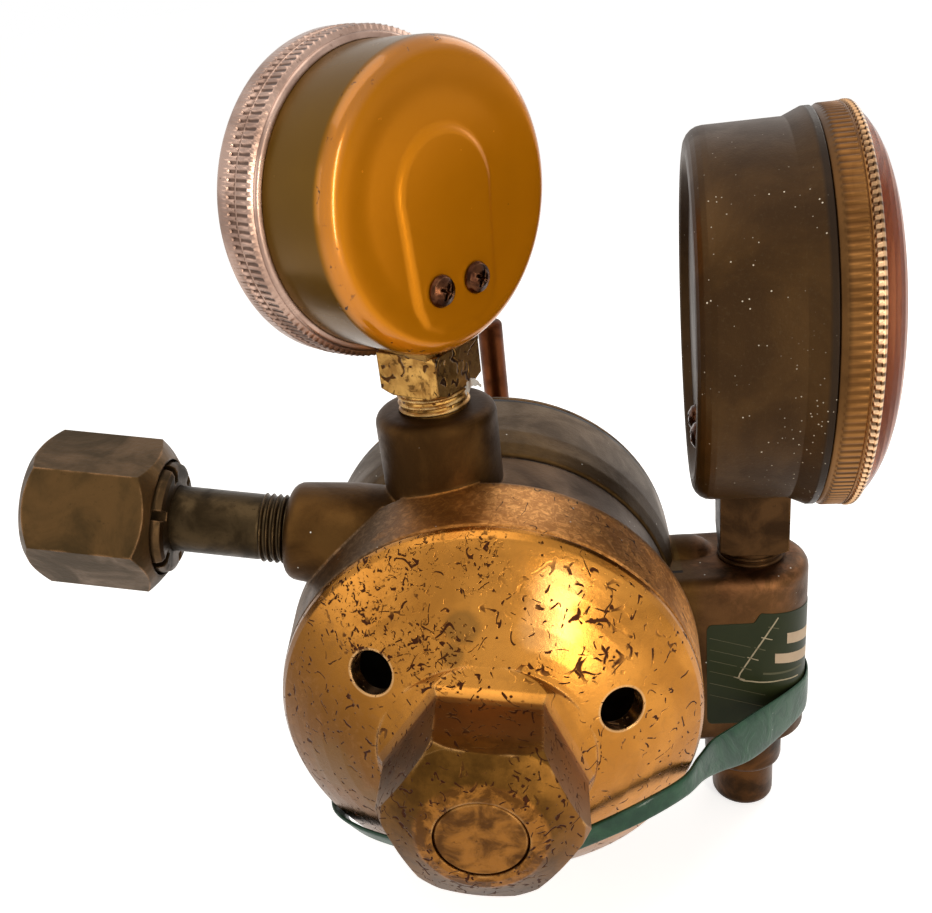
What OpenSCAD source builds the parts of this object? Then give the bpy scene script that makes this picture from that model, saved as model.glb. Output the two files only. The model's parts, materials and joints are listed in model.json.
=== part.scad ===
// Two-stage pressure regulator for a gas cylinder, with a cylinder gauge and a delivery gauge.
// Lengths are millimetres. The stages lie along Y: the preset first stage faces -Y, the delivery
// stage and its T-handle face +Y, and Z is up. Every module draws in stage coordinates, whose origin
// is the middle of the seam between the first-stage bonnet and the body. from_valve() then moves the
// piece, so that the part's own origin is the middle of the inlet nut's mouth.

/* [Body] */
// Radius of the machined ring at the first-stage end, at its rear edge
ring_r = 43.6; // [42.6:0.1:48]
// Radius of the ring at the seam
seam_r = 42.5; // [42.2:0.1:43.6]
// Length of that ring
ring_len = 15.8; // [12:0.1:18]
// Radius of the cast neck behind the ring
neck_r = 40.2; // [39:0.1:42]
// Length of the neck
neck_len = 18.9; // [16:0.1:22]
// Radius of the drum that holds the delivery stage
drum_r = 42.5; // [42:0.1:46]
// Length of the drum
drum_len = 27.2; // [26:0.1:34]
// Plane across the body that holds the cylinder gauge port
port_y = 25; // [24:0.5:26]

/* [Cylinder gauge boss] */
// Sideways place of the boss
boss_x = -6.3; // [-8:0.1:0]
// Radius of the boss
boss_r = 12.3; // [11:0.1:14]
// Height of the boss's top
boss_top = 56.8; // [54:0.1:60]

/* [Inlet] */
// Plane across the body that holds the inlet axis
inlet_y = 20.6; // [20:0.1:24]
// Height of the inlet axis over the middle of the body
inlet_z = 25.3; // [22:0.1:28]
// Angle by which the inlet axis rises away from the body
inlet_rise = 10.9; // [6:0.1:12]
// Radius of the inlet boss
inlet_boss_r = 10.5; // [9.5:0.1:12]
// Radius of the inlet boss where it joins the casting
inlet_root_r = 11.5; // [11:0.1:14]
// Distance from the middle plane of the body to the end of the inlet boss
inlet_boss_end = 40.7; // [38:0.1:42]
// Radius of the inlet nipple's shank
nipple_r = 7; // [7:0.05:7.3]
// Radius of the quarter-inch pipe threads
pipe_r = 6.85; // [6.7:0.05:7]
// Distance from the middle plane to the back of the inlet nut
nut_back = 67.2; // [64:0.1:70]
// Length of the inlet nut
nut_len = 27.4; // [26:0.1:30]
// Angle by which the nut is turned on its axis
nut_clock = 26; // [0:1:60]
// Size of the inlet nut across its flats, one and an eighth inches
nut_af = 28.58; // [28:0.01:29]
// Wall radius of the inlet nut's internal thread
nut_thread_r = 10.6; // [10.4:0.05:10.8]
// Length of the union nut's thread
nut_thread_len = 7.5; // [6:0.5:10]

/* [Outlet lobe] */
// Sideways place of the lobe's axis
lobe_x = 58.3; // [56:0.1:62]
// Place of the lobe's axis along the stages
lobe_y = 40.8; // [40:0.1:42]
// Radius of the lobe
lobe_r = 12.2; // [11.5:0.1:13]
// Height of the lobe's top
lobe_top = 8.6; // [7:0.1:10]
// Height of the lobe's foot
lobe_foot = -37; // [-44:0.5:-36]
// Sideways place of the outlet's axis
outlet_x = 57; // [56.5:0.1:58.3]
// Radius of the outlet fitting's collar
outlet_collar_r = 8.9; // [8:0.1:10]
// Height of the collar's foot
outlet_collar_foot = -48; // [-50:0.5:-46]
// Radius of the outlet's external thread, nine sixteenths of an inch across
outlet_r = 7.14; // [7:0.01:7.3]
// Height of the outlet's tip
outlet_tip = -60; // [-66:0.1:-58]

/* [Bonnets] */
// Radius of the first-stage bonnet's lip
lip_r = 42.4; // [41.5:0.1:43]
// Size of the bonnet's hexagon across its corners
hex_ac = 38.4; // [37:0.1:40]
// Angle by which the hexagon and the vents are clocked
hex_clock = 8.6; // [0:0.1:12]
// Radius of the fillet between the hexagon and its dome
root_fillet = 6.6; // [4:0.1:8]
// Place where the hexagon's flats run out into that fillet
root_end = -20.8; // [-23:0.1:-19]
// Place of the hexagon's flat end
hex_end = -36.2; // [-37:0.1:-35]
// Radius of the vents
vent_r = 4.4; // [3.5:0.1:4.6]
// Distance from the stage axis to the vents
vent_ring = 27.4; // [26:0.1:29]
// Direction of the first vent, from +X towards +Z
vent_clock = 17; // [0:1:30]

/* [T-handle] */
// Travel of the adjusting screw
screw_travel = 7; // [5:0.5:7]
// Radius of the adjusting screw
screw_r = 6.3; // [6:0.05:6.4]
// Length of the crossbar
bar_len = 88; // [80:1:96]
// Radius of the crossbar
bar_r = 3.5; // [3:0.1:3.8]

/* [Cylinder gauge] */
// Height of the gauge's centre
high_z = 97.7; // [96:0.1:100]
// Direction that its face looks in, from +X towards +Y
high_heading = 139.3; // [120:0.1:160]
// Radius of its case
high_case_r = 27.7; // [27:0.1:29]
// Angle by which its wrench square is turned from the dial
high_twist = 9; // [0:1:15]
// Radius of its bezel
high_bezel_r = 30.5; // [30:0.1:32]

/* [Delivery gauge] */
// Height of the gauge's centre
low_z = 64.4; // [63:0.1:66]
// Direction that its face looks in, from +X towards +Y
low_heading = -4.3; // [-20:0.1:10]
// Radius of its case
low_case_r = 37.1; // [36:0.1:37.4]
// Radius of its bezel
low_bezel_r = 39; // [38.5:0.1:40]
// Radius of the delivery gauge's domed window
low_window_r = 38; // [37:0.1:38.2]

/* [Hidden] */
$fn = 96;
// Radial gap of a screwed joint, and of a shaft that runs in a hole
gap = 0.05;
run = 0.08;
// Ends of the body's three stretches along the stages
neck_y = ring_len;
drum_y = neck_y + neck_len;
body_end = drum_y + drum_len;
// Stack of each stage: bonnet skirt, slip ring, diaphragm and chamber
seat_r = 36;
seat_depth = 10;
skirt_depth = 8.5;
skirt_bore = 31;
diaphragm_r = 35;
diaphragm_t = 0.5;
ring_t = 1;
chamber_r = 27;
chamber_floor = 13.5;
plate_r = 18;
plate_t = 3;
lift = 0.7;
// Seat valves: nozzle thread, and the bore behind it that holds the poppet
nozzle_r = 7.5;
nozzle_len = 5;
poppet_bore = 6.5;
poppet_room = 9;
// Dome of the first-stage bonnet: radius of its sphere, and the sphere's centre on the stage axis
dome_r = 64.4;
dome_y = 46.3;
wall = 3.6;
// Spring pockets
preset_pocket_r = 13.2;
preset_pocket_y = -28;
delivery_pocket_r = 18.5;
delivery_pocket_y = body_end + 32.6;
plug_r = 8.5;
// Dome, nose and screw boss of the delivery bonnet
rear_dome_r = 50;
rear_dome_y = body_end - 27.5;
nose_r = 21.5;
nose_end = body_end + 38.6;
boss_end = nose_end + 3;
// Rest place of the delivery spring's button, and the T-handle behind it
button_y = body_end + 28.1;
screw_tip = button_y + 1.55;
head_y = boss_end + screw_travel + 0.6;
bar_y = head_y + 6.6;
head_end = head_y + 12.8;
head_r = 8;
// Gauge: the square socket, half across, the case wall and the screws in the back
square = 14.29;
case_t = 1;
back_screw_x = 4.6;
back_screw_y = -15.9;
// Steps along a window's crown
lens_steps = 8;
// Depths of each gauge along its own axis: back, bezel seam, case rim, bezel front, dial, and the
// depth of the recess in its back
high_depth = [-10.4, 7, 13, 18.2, 9, 0];
low_depth = [-13.2, 9.5, 12.8, 16.9, 8.2, 2];
// Gauge gearing: tooth module, teeth of the pinion, teeth of the sector's full circle
tooth = 0.2;
pinion_teeth = 10;
sector_teeth = 90;
sector_pivot = tooth * (pinion_teeth + sector_teeth) / 2;
sector_tail = 160;
// Bourdon tube: the angle that it spans
tube_span = 236;
// Strap: its route, with the way its flat side faces, its width and its thickness at each point
lobe_wrap = lobe_r + 0.6;
strap_route = [
    for (a = [0:-20:-40])
        [[lobe_x + lobe_wrap * cos(a), lobe_y + lobe_wrap * sin(a), -26.4], [cos(a), sin(a), 0],
            8.6, 0.8],
    [[61.4, 24.9, -26.2], [0.7, -0.7, 0.1], 8.2, 0.9], [[52.7, 15.1, -24.6], [0.6, -0.7, 0.4], 6.6, 1.2],
    [[45.7, 7.2, -21.6], [0.5, -0.6, 0.5], 4.6, 1.4], [[41.2, 0, -18.2], [0.75, -0.6, 0.3], 3.8, 1.4],
    [[37.4, -6.9, -16.2], [0.6, -0.8, 0.1], 3.6, 1.4], [[29.2, -12, -16.9], [0.3, -0.9, 0.2], 3.6, 1.4],
    [[19.6, -14.4, -20.2], [0.2, -0.96, 0.1], 4.2, 1.4], [[9.5, -15.2, -24.4], [0.1, -0.97, -0.2], 4.6, 1.2],
    [[-1, -14.8, -26.6], [0, -0.9, -0.4], 4.8, 1.1], [[-11, -13.6, -26.2], [-0.15, -0.9, -0.4], 4.8, 1.1],
    [[-20.8, -11.1, -25.4], [-0.3, -0.85, -0.4], 4.8, 1],
    [[-29.4, -7, -25.5], [-0.45, -0.75, -0.45], 4.6, 1],
    [[-35, -0.8, -26.4], [-0.75, -0.35, -0.6], 4.8, 0.9], [[-34.8, 8, -28.6], [-0.76, 0, -0.64], 6, 0.9],
    [[-28.6, 18, -34.6], [-0.62, 0, -0.78], 7, 0.9], [[-15.6, 27, -41.4], [-0.34, 0, -0.94], 7, 0.9],
    [[0, 36, -44], [0, 0, -1], 7, 0.9], [[15.6, 44, -42], [0.34, 0, -0.94], 7, 0.9],
    [[29.8, 52, -38.4], [0.5, 0.3, -0.8], 6.4, 0.9], [[43.4, 56.4, -30.4], [0.2, 0.95, -0.2], 7, 0.9],
    for (a = [80:-20:20])
        [[lobe_x + lobe_wrap * cos(a), lobe_y + lobe_wrap * sin(a), -26.4], [cos(a), sin(a), 0],
            8.4, 0.8]
];
// Middle of the inlet nut's mouth, which becomes the part's origin
mouth_s = nut_back + nut_len;
mouth = [-mouth_s * cos(inlet_rise), inlet_y, inlet_z + mouth_s * sin(inlet_rise)];

// ---------------------------------------------------------------- helpers

// Points of an arc from angle a0 to a1
function arc(c, r, a0, a1, n = 6) =
    [for (i = [0:n]) c + r * [cos(a0 + (a1 - a0) * i / n), sin(a0 + (a1 - a0) * i / n)]];

// Distance along the stages of a dome's surface at radius x
function dome(x, r, y, side) = y + side * sqrt(r * r - x * x);

// A point of a smooth closed curve through p, at place i and fraction t
function smooth(p, i, t) =
    let (n = len(p), a = p[(i + n - 1) % n], b = p[i], c = p[(i + 1) % n], d = p[(i + 2) % n])
    0.5 * (2 * b + (c - a) * t + (2 * a - 5 * b + 4 * c - d) * t * t
        + (3 * b - a - 3 * c + d) * t * t * t);

function unit(v) = v / norm(v);

// Triangles round a tube of n rings with m points each, closed on itself or capped
function tube_faces(n, m, closed) = concat(
    [for (i = [0:(closed ? n - 1 : n - 2)], j = [0:m - 1])
        [i * m + j, ((i + 1) % n) * m + j, i * m + (j + 1) % m]],
    [for (i = [0:(closed ? n - 1 : n - 2)], j = [0:m - 1])
        [i * m + (j + 1) % m, ((i + 1) % n) * m + j, ((i + 1) % n) * m + (j + 1) % m]],
    closed ? [] : [[for (j = [0:m - 1]) j], [for (j = [m - 1:-1:0]) (n - 1) * m + j]]);

// Moves a piece from stage coordinates to the part's own frame
module from_valve() {
    translate(-mouth) children();
}

// A solid of revolution about the stage axis, from points of radius and place
module turned(points) {
    rotate([-90, 0, 0]) rotate_extrude() polygon(points);
}

// A cylinder along the stage axis between two places
module stage_rod(r, y0, y1) {
    rotate([-90, 0, 0]) translate([0, 0, y0]) cylinder(r = r, h = y1 - y0);
}

// A straight drilling between two points
module drilling(a, b, r) {
    v = b - a;
    translate(a)
        rotate([0, acos(v[2] / norm(v)), atan2(v[1], v[0])])
            cylinder(r = r, h = norm(v), $fn = 48);
}

// Puts a piece, drawn along Z from the body's middle plane, on the inlet axis
module on_inlet() {
    translate([0, inlet_y, inlet_z]) rotate([0, inlet_rise - 90, 0]) children();
}

// Puts a gauge piece, drawn with its face along Z and its top along Y, on its gauge
module on_high() {
    translate([boss_x, port_y, high_z]) rotate([90, 0, high_heading + 90]) children();
}

module on_low() {
    translate([lobe_x, lobe_y, low_z]) rotate([90, 0, low_heading + 90]) children();
}

// Cylinder with a rounded top edge, standing on z = 0
module round_boss(r, h, edge) {
    rotate_extrude()
        polygon(concat([[0, 0], [r, 0]], arc([r - edge, h - edge], edge, 0, 90, 5), [[0, h]]));
}

// Coil spring along the stage axis, with a closer three quarters of a turn at each end, as one tube
module coil(mean_r, wire, y0, y1, turns) {
    steps = 8;
    rings = turns * steps;
    dead = 0.75;
    end_pitch = wire + 0.5;
    pitch = (y1 - y0 - wire - 2 * dead * end_pitch) / (turns - 2 * dead);
    function climb(t) = end_pitch * (min(t, dead) + max(0, t - (turns - dead)))
        + pitch * max(0, min(t, turns - dead) - dead);
    points = [for (i = [0:rings], j = [0:5])
        let (t = i / steps, a = 360 * t, b = 60 * j, r = mean_r + wire / 2 * cos(b))
        [r * cos(a), y0 + wire / 2 + climb(t) + wire / 2 * sin(b), r * sin(a)]];
    echo(str("least gap between curls: ", min(pitch, end_pitch) - wire));
    polyhedron(points, tube_faces(rings + 1, 6, false), convexity = 10);
}

// ---------------------------------------------------------------- body

// Passages: inlet and gauge to the first valve, first chamber to the second valve, and the outlet
module passages() {
    first_mid = chamber_floor + nozzle_len + poppet_room / 2;
    second_mid = body_end - first_mid;
    drilling([boss_x, port_y, 2], [boss_x, port_y, boss_top], 2);
    drilling([boss_x, port_y, 0.5], [0, first_mid, 0.5], 2);
    on_inlet() translate([0, 0, 5]) cylinder(r = 2.5, h = inlet_boss_end - 5);
    drilling([boss_x, inlet_y - 1, inlet_z + 1.2], [boss_x, port_y, inlet_z + 1.2], 2.4);
    drilling([16, chamber_floor - 1, -6], [4, second_mid, -2], 2);
    drilling([21, body_end - 12, -10], [lobe_x, lobe_y, -10], 2.5);
    translate([lobe_x, lobe_y, lobe_foot]) cylinder(r = 3.2, h = lobe_top - lobe_foot);
}

// Hollow of one stage, drawn for the first stage
module stage_hollow() {
    turned([[0, -1], [seat_r + gap, -1], [seat_r + gap, seat_depth], [chamber_r, seat_depth],
        [chamber_r, chamber_floor], [nozzle_r + gap, chamber_floor],
        [nozzle_r + gap, chamber_floor + nozzle_len], [poppet_bore, chamber_floor + nozzle_len],
        [poppet_bore, chamber_floor + nozzle_len + poppet_room],
        [0, chamber_floor + nozzle_len + poppet_room]]);
}

// Outline of a web's cross-section in Y and Z, with its upper edges rounded
module web_outline(y0, y1, z0, z1, edge) {
    polygon(concat([[y0, z0 + edge]], [[y0 + edge, z0], [y1 - edge, z0], [y1, z0 + edge]],
        arc([y1 - edge, z1 - edge], edge, 0, 90, 4), arc([y0 + edge, z1 - edge], edge, 90, 180, 4)));
}

module web(x0, x1, y0, y1, z0, z1, edge) {
    translate([x0, 0, 0])
        rotate([90, 0, 90])
            linear_extrude(x1 - x0) web_outline(y0, y1, z0, z1, edge);
}

module outlet_lobe() {
    rib_r = 7.1;
    rib_end = 45;
    translate([lobe_x, lobe_y, lobe_foot])
        rotate_extrude()
            polygon(concat([[0, 0], [lobe_r - 1.5, 0], [lobe_r, 1.5]],
                arc([lobe_r - 2.5, lobe_top - lobe_foot - 2.5], 2.5, 0, 90, 5),
                [[0, lobe_top - lobe_foot]]));
    web(24, lobe_x, lobe_y - lobe_r, lobe_y + lobe_r, lobe_foot + 1, lobe_top, 2.5);
    // round rib over the outlet passage, behind the web
    translate([24, 45, 4])
        rotate([0, 90, 0])
            rotate_extrude()
                polygon(concat([[0, 0], [rib_r, 0]], arc([0, rib_end - 24], rib_r, 0, 90, 6)));
}

module body() {
    from_valve() color("#5f4c33") difference() {
        union() {
            turned([[0, 0], [seam_r, 0], [ring_r, neck_y - 0.7], [ring_r - 0.6, neck_y],
                [neck_r + 0.8, neck_y + 0.4], [neck_r, neck_y + 2], [neck_r, drum_y - 0.3],
                [neck_r - 0.4, drum_y], [neck_r + 0.5, drum_y + 0.5], [drum_r - 0.7, drum_y + 4],
                [drum_r, drum_y + 9], [drum_r, body_end - 0.4], [drum_r - 0.4, body_end],
                [0, body_end]]);
            // boss of the cylinder gauge
            translate([boss_x, port_y, 30]) round_boss(boss_r, boss_top - 30, 2.2);
            // inlet boss, thicker where it joins the casting
            on_inlet()
                rotate_extrude()
                    polygon(concat([[0, 8], [inlet_root_r, 8], [inlet_root_r, 27]],
                        arc([inlet_boss_r - 3, inlet_boss_end - 3], 3, 0, 90, 5),
                        [[0, inlet_boss_end]]));
            outlet_lobe();
        }
        stage_hollow();
        translate([0, body_end, 0]) mirror([0, 1, 0]) stage_hollow();
        passages();
        // tapped ports
        translate([boss_x, port_y, boss_top - 12]) cylinder(r = pipe_r + gap, h = 20);
        translate([lobe_x, lobe_y, lobe_top - 10]) cylinder(r = pipe_r + gap, h = 20);
        translate([outlet_x, lobe_y, lobe_foot - 1]) cylinder(r = pipe_r + gap, h = 13);
        on_inlet() translate([0, 0, inlet_boss_end - 13]) cylinder(r = pipe_r + gap, h = 14);
    }
}

// ---------------------------------------------------------------- first stage

// Places something at each vent of a bonnet, along the slope of a dome of the given radius
module at_vents(r, y, side) {
    for (a = [0:120:240])
        rotate([0, -vent_clock - a, 0])
            translate([vent_ring, dome(vent_ring, r, y, side), 0])
                rotate([0, 0, -side * asin(vent_ring / r)])
                    rotate([-90 * side, 0, 0]) children();
}

// Hexagon with a crowned end, for y running from y0 to the flat end y1
module bonnet_hexagon(y0) {
    crown = 4.6;
    intersection() {
        rotate([90, 0, 0])
            translate([0, 0, -y0])
                rotate([0, 0, -hex_clock])
                    cylinder(r = hex_ac / 2, h = y0 - hex_end, $fn = 6);
        turned([[0, hex_end], [9.8, hex_end], [11.5, hex_end + 0.4],
            [hex_ac / 2 - 1.2, hex_end + crown - 0.8], [hex_ac / 2 + 0.4, hex_end + crown + 1.2],
            [hex_ac / 2 + 0.4, 0], [0, 0]]);
    }
}

// Corner radius of the hexagon's fillet, for a = 0 at the hexagon's flats and 70 beside the dome
function root_r(a) = hex_ac / 2 + (root_fillet * (1 - cos(a)) - 0.1) / cos(30);

// Fillet between the hexagon and the dome, rounded off at its corners
module hexagon_root() {
    turn = 17.5;
    intersection() {
        rotate([90, 0, 0]) rotate([0, 0, -hex_clock]) {
            for (a = [0:turn:3 * turn])
                translate([0, 0, -root_end - root_fillet * sin(a + turn)])
                    cylinder(r1 = root_r(a + turn), r2 = root_r(a),
                        h = root_fillet * (sin(a + turn) - sin(a)), $fn = 6);
            translate([0, 0, -root_end - root_fillet * sin(4 * turn) - 1])
                cylinder(r = root_r(4 * turn), h = 1, $fn = 6);
        }
        turned([[0, root_end - 1], [hex_ac / 2 + 0.3, root_end - 1], [hex_ac / 2 + 0.35, root_end],
            [hex_ac / 2 + 2.2, root_end + 7.4], [0, root_end + 7.4]]);
    }
}

module preset_bonnet() {
    from_valve() color("#b98235") difference() {
        union() {
            turned(concat(
                [[0, skirt_depth], [seat_r, skirt_depth], [seat_r, -gap], [lip_r - 0.6, -gap],
                    [lip_r, -0.5], [lip_r - 0.2, -1.6], [lip_r - 1, -3]],
                [for (x = [40.2, 38.5, 36, 33, 29, 25, 22.3, 18]) [x, dome(x, dome_r, dome_y, -1)]],
                [[12, -16], [0, -16]]));
            bonnet_hexagon(-12);
            hexagon_root();
        }
        turned(concat([[0, skirt_depth + 1], [skirt_bore, skirt_depth + 1], [skirt_bore, -5.5]],
            [for (x = [30, 25, 20, 15]) [x, dome(x, dome_r - wall, dome_y, -1)]],
            [[preset_pocket_r, -14], [preset_pocket_r, preset_pocket_y],
                [plug_r + gap, preset_pocket_y], [plug_r + gap, hex_end - 1], [0, hex_end - 1]]));
        at_vents(dome_r, dome_y, -1) {
            translate([0, 0, -9]) cylinder(r = vent_r, h = 14);
        }
        at_vents(dome_r, dome_y, -1) {
            translate([0, 0, -0.3]) cylinder(r1 = vent_r, r2 = vent_r + 1.3, h = 1.3);
        }
    }
}

module preset_screw() {
    from_valve() color("#a9762f") difference() {
        turned([[0, preset_pocket_y + 2], [plug_r - 1, preset_pocket_y + 2],
            [plug_r, preset_pocket_y + 1], [plug_r, hex_end + 0.7], [plug_r - 0.5, hex_end + 0.15],
            [0, hex_end + 0.15]]);
        // shallow centre drilling on the inner end
        stage_rod(2.5, preset_pocket_y + 1, preset_pocket_y + 3);
    }
}

module preset_button() {
    from_valve() color("#b7a06a") turned([[0, preset_pocket_y + 1.1], [2.2, preset_pocket_y + 1.1],
        [2.2, preset_pocket_y + 2.1], [9, preset_pocket_y + 2.1], [12.6, preset_pocket_y + 3],
        [12.6, preset_pocket_y + 4.5], [8.6, preset_pocket_y + 4.5], [8, preset_pocket_y + 7],
        [0, preset_pocket_y + 7]]);
}

module preset_spring() {
    from_valve() color("#5d5f62")
        coil(10.9, 3.2, preset_pocket_y + 4.6, seat_depth - diaphragm_t - plate_t - 0.1, 5.5);
}

// Plate between a spring and its diaphragm, which faces +Y at y = 0
module diaphragm_plate(pilot) {
    turned([[0, 0], [plate_r - 1.2, 0], [plate_r, -1], [plate_r, -plate_t], [pilot, -plate_t],
        [pilot - 0.6, -plate_t - 3], [0, -plate_t - 3]]);
}

module preset_plate() {
    from_valve() color("#b9a063")
        translate([0, seat_depth - diaphragm_t - gap, 0]) diaphragm_plate(8.9);
}

module preset_slip_ring() {
    from_valve() color("#9b9c9e")
        turned([[skirt_bore, skirt_depth], [diaphragm_r, skirt_depth],
            [diaphragm_r, skirt_depth + ring_t], [skirt_bore, skirt_depth + ring_t]]);
}

module preset_diaphragm() {
    from_valve() color("#8d8f92")
        turned([[0, seat_depth - diaphragm_t], [diaphragm_r, seat_depth - diaphragm_t],
            [diaphragm_r, seat_depth], [0, seat_depth]]);
}

// Screwed-in nozzle with a hexagon head, drawn for the first stage
module nozzle() {
    difference() {
        union() {
            turned([[0, chamber_floor], [nozzle_r, chamber_floor],
                [nozzle_r, chamber_floor + nozzle_len - 0.6],
                [nozzle_r - 0.6, chamber_floor + nozzle_len], [3.4, chamber_floor + nozzle_len],
                [2.6, chamber_floor + nozzle_len + 0.8], [0, chamber_floor + nozzle_len + 0.8]]);
            rotate([-90, 0, 0])
                translate([0, 0, chamber_floor - 3])
                    cylinder(r = 9.2, h = 3, $fn = 6);
        }
        stage_rod(1.9, 0, chamber_floor + nozzle_len + 1);
        for (a = [0:90:270])
            rotate([0, a, 0])
                drilling([0, chamber_floor - 1.5, 0], [10, chamber_floor - 1.5, 0], 0.8);
    }
}

// Poppet with its push stem, seat disc and spring guide, open by the given gap
module poppet(open) {
    seat = chamber_floor + nozzle_len + 0.8 + open + 0.02;
    turned([[0, seat_depth + gap], [0.6, seat_depth + gap], [1.1, seat_depth + 0.6], [1.1, seat],
        [4.2, seat], [4.2, seat + 1.6], [2.1, seat + 1.6], [2.1, seat + 4], [0, seat + 4]]);
}

module valve_spring(open) {
    coil(3.1, 0.8, chamber_floor + nozzle_len + 2.45 + open + 0.02,
        chamber_floor + nozzle_len + poppet_room - 0.02, 3.5);
}

module first_nozzle() {
    from_valve() color("#c9a24a") nozzle();
}

module first_valve() {
    from_valve() color("#c7c2b4") poppet(lift);
}

module first_valve_spring() {
    from_valve() color("#7b7d80") valve_spring(lift);
}

// ---------------------------------------------------------------- delivery stage

// Turns a piece drawn for the first stage round to the delivery end
module rear() {
    translate([0, body_end, 0]) rotate([0, 0, 180]) children();
}

module delivery_bonnet() {
    from_valve() color("#8f6f38") difference() {
        turned(concat(
            [[0, body_end - skirt_depth], [seat_r, body_end - skirt_depth], [seat_r, body_end + 0.02],
                [drum_r - 0.6, body_end + 0.02], [drum_r - 0.1, body_end + 0.5],
                [drum_r - 0.1, body_end + 1.4], [drum_r - 0.9, body_end + 2.2],
                [drum_r - 3.4, body_end + 2.6], [drum_r - 3.9, body_end + 3.2]],
            [for (x = [38, 36, 33, 29]) [x, dome(x, rear_dome_r, rear_dome_y, 1)]],
            arc([nose_r + 6, body_end + 21.5], 6, 262, 180, 5),
            arc([nose_r - 4, nose_end - 4], 4, 0, 90, 5),
            [[11.6, nose_end], [11, nose_end + 0.6], [11, boss_end - 1], [10, boss_end],
                [0, boss_end]]));
        turned(concat(
            [[0, body_end - skirt_depth - 1], [skirt_bore, body_end - skirt_depth - 1],
                [skirt_bore, body_end + 3.5]],
            [for (x = [29, 25, 20]) [x, dome(x, rear_dome_r - wall, rear_dome_y, 1)]],
            [[delivery_pocket_r, body_end + 15.4], [delivery_pocket_r, delivery_pocket_y],
                [screw_r + run, delivery_pocket_y], [screw_r + run, boss_end + 1],
                [0, boss_end + 1]]));
        at_vents(rear_dome_r, rear_dome_y, 1) {
            translate([0, 0, -9]) cylinder(r = 3, h = 14);
        }
    }
}

module delivery_spring() {
    from_valve() color("#55575a")
        coil(14.6, 4, body_end - seat_depth + diaphragm_t + plate_t + 0.1, button_y - 0.1, 5.5);
}

module delivery_button() {
    from_valve() color("#b7a06a")
        turned([[0, button_y - 3], [11.4, button_y - 3], [12.2, button_y], [17.6, button_y],
            [17.6, button_y + 2], [14, button_y + 3], [6.8, button_y + 3], [6.8, button_y + 1.5],
            [0, button_y + 1.5]]);
}

module delivery_plate() {
    from_valve() color("#b9a063")
        rear() translate([0, seat_depth - diaphragm_t - gap, 0]) diaphragm_plate(12);
}

module delivery_slip_ring() {
    from_valve() color("#9b9c9e")
        rear() turned([[skirt_bore, skirt_depth], [diaphragm_r, skirt_depth],
            [diaphragm_r, skirt_depth + ring_t], [skirt_bore, skirt_depth + ring_t]]);
}

module delivery_diaphragm() {
    from_valve() color("#3c3a37")
        rear() turned([[0, seat_depth - diaphragm_t], [diaphragm_r, seat_depth - diaphragm_t],
            [diaphragm_r, seat_depth], [0, seat_depth]]);
}

module second_nozzle() {
    from_valve() color("#c9a24a") rear() nozzle();
}

module second_valve() {
    from_valve() color("#c7c2b4") rear() poppet(0.02);
}

module second_valve_spring() {
    from_valve() color("#7b7d80")
        rear() valve_spring(0.02);
}

module adjusting_screw() {
    from_valve() color("#7a5a43") difference() {
        turned([[0, screw_tip], [4.4, screw_tip], [screw_r, screw_tip + 1.6], [screw_r, head_y],
            [head_r - 1, head_y], [head_r, head_y + 1], [head_r, head_end - 2],
            [head_r - 2, head_end - 0.4], [head_r - 4, head_end], [0, head_end]]);
        translate([0, bar_y, -2 * head_r]) cylinder(r = bar_r + 0.02, h = 4 * head_r);
    }
}

module handle_bar() {
    from_valve() color("#7a4a35")
        translate([0, bar_y, -bar_len / 2])
            rotate_extrude()
                polygon(concat([[0, 0]], arc([bar_r - 1.5, 1.5], 1.5, 270, 360, 4),
                    arc([bar_r - 1.5, bar_len - 1.5], 1.5, 0, 90, 4), [[0, bar_len]]));
}

// ---------------------------------------------------------------- inlet

// Distance from the body's middle plane to the nut's inner shoulder and to the nipple's flange
shoulder_s = nut_back + 12;
flange_s = shoulder_s + 0.3;

module inlet_nipple() {
    thread_start = inlet_boss_end - 12;
    from_valve() color("#6d5738") on_inlet() difference() {
        rotate_extrude()
            polygon(concat([[0, thread_start], [pipe_r - 0.8, thread_start],
                [pipe_r - 0.3, thread_start + 1], [pipe_r - 0.1, inlet_boss_end],
                [pipe_r, inlet_boss_end + 5.4], [nipple_r, inlet_boss_end + 6],
                [nipple_r, flange_s], [9.6, flange_s], [9.6, flange_s + 3],
                [7.8, flange_s + 3.4]],
                arc([3.8, flange_s + 3.2], 4, 10, 80, 5), [[0, flange_s + 7.2]]));
        translate([0, 0, thread_start - 1]) cylinder(r = 2.4, h = 70);
        translate([0, 0, thread_start - 1]) cylinder(r = 4.3, h = 10);
    }
}

module inlet_filter() {
    from_valve() color("#a98a55") on_inlet()
        translate([0, 0, inlet_boss_end - 11.8]) difference() {
            cylinder(r = 4.25, h = 8.6);
            translate([0, 0, -1]) cylinder(r = 2.4, h = 7);
        }
}

module inlet_collar() {
    collar_r = 11.9;
    collar_len = 7.4;
    from_valve() color("#55442c") on_inlet()
        translate([0, 0, nut_back - 2.2]) difference() {
            rotate_extrude()
                polygon([[nipple_r + run, 0], [collar_r - 1.4, 0], [collar_r - 0.4, 0.5],
                    [collar_r, 1.6], [collar_r, collar_len], [nipple_r + run, collar_len]]);
            for (a = [0:60:300])
                rotate([0, 0, a])
                    translate([nipple_r + 1.4, -1, -1]) cube([6, 2, 4.6]);
        }
}

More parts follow.
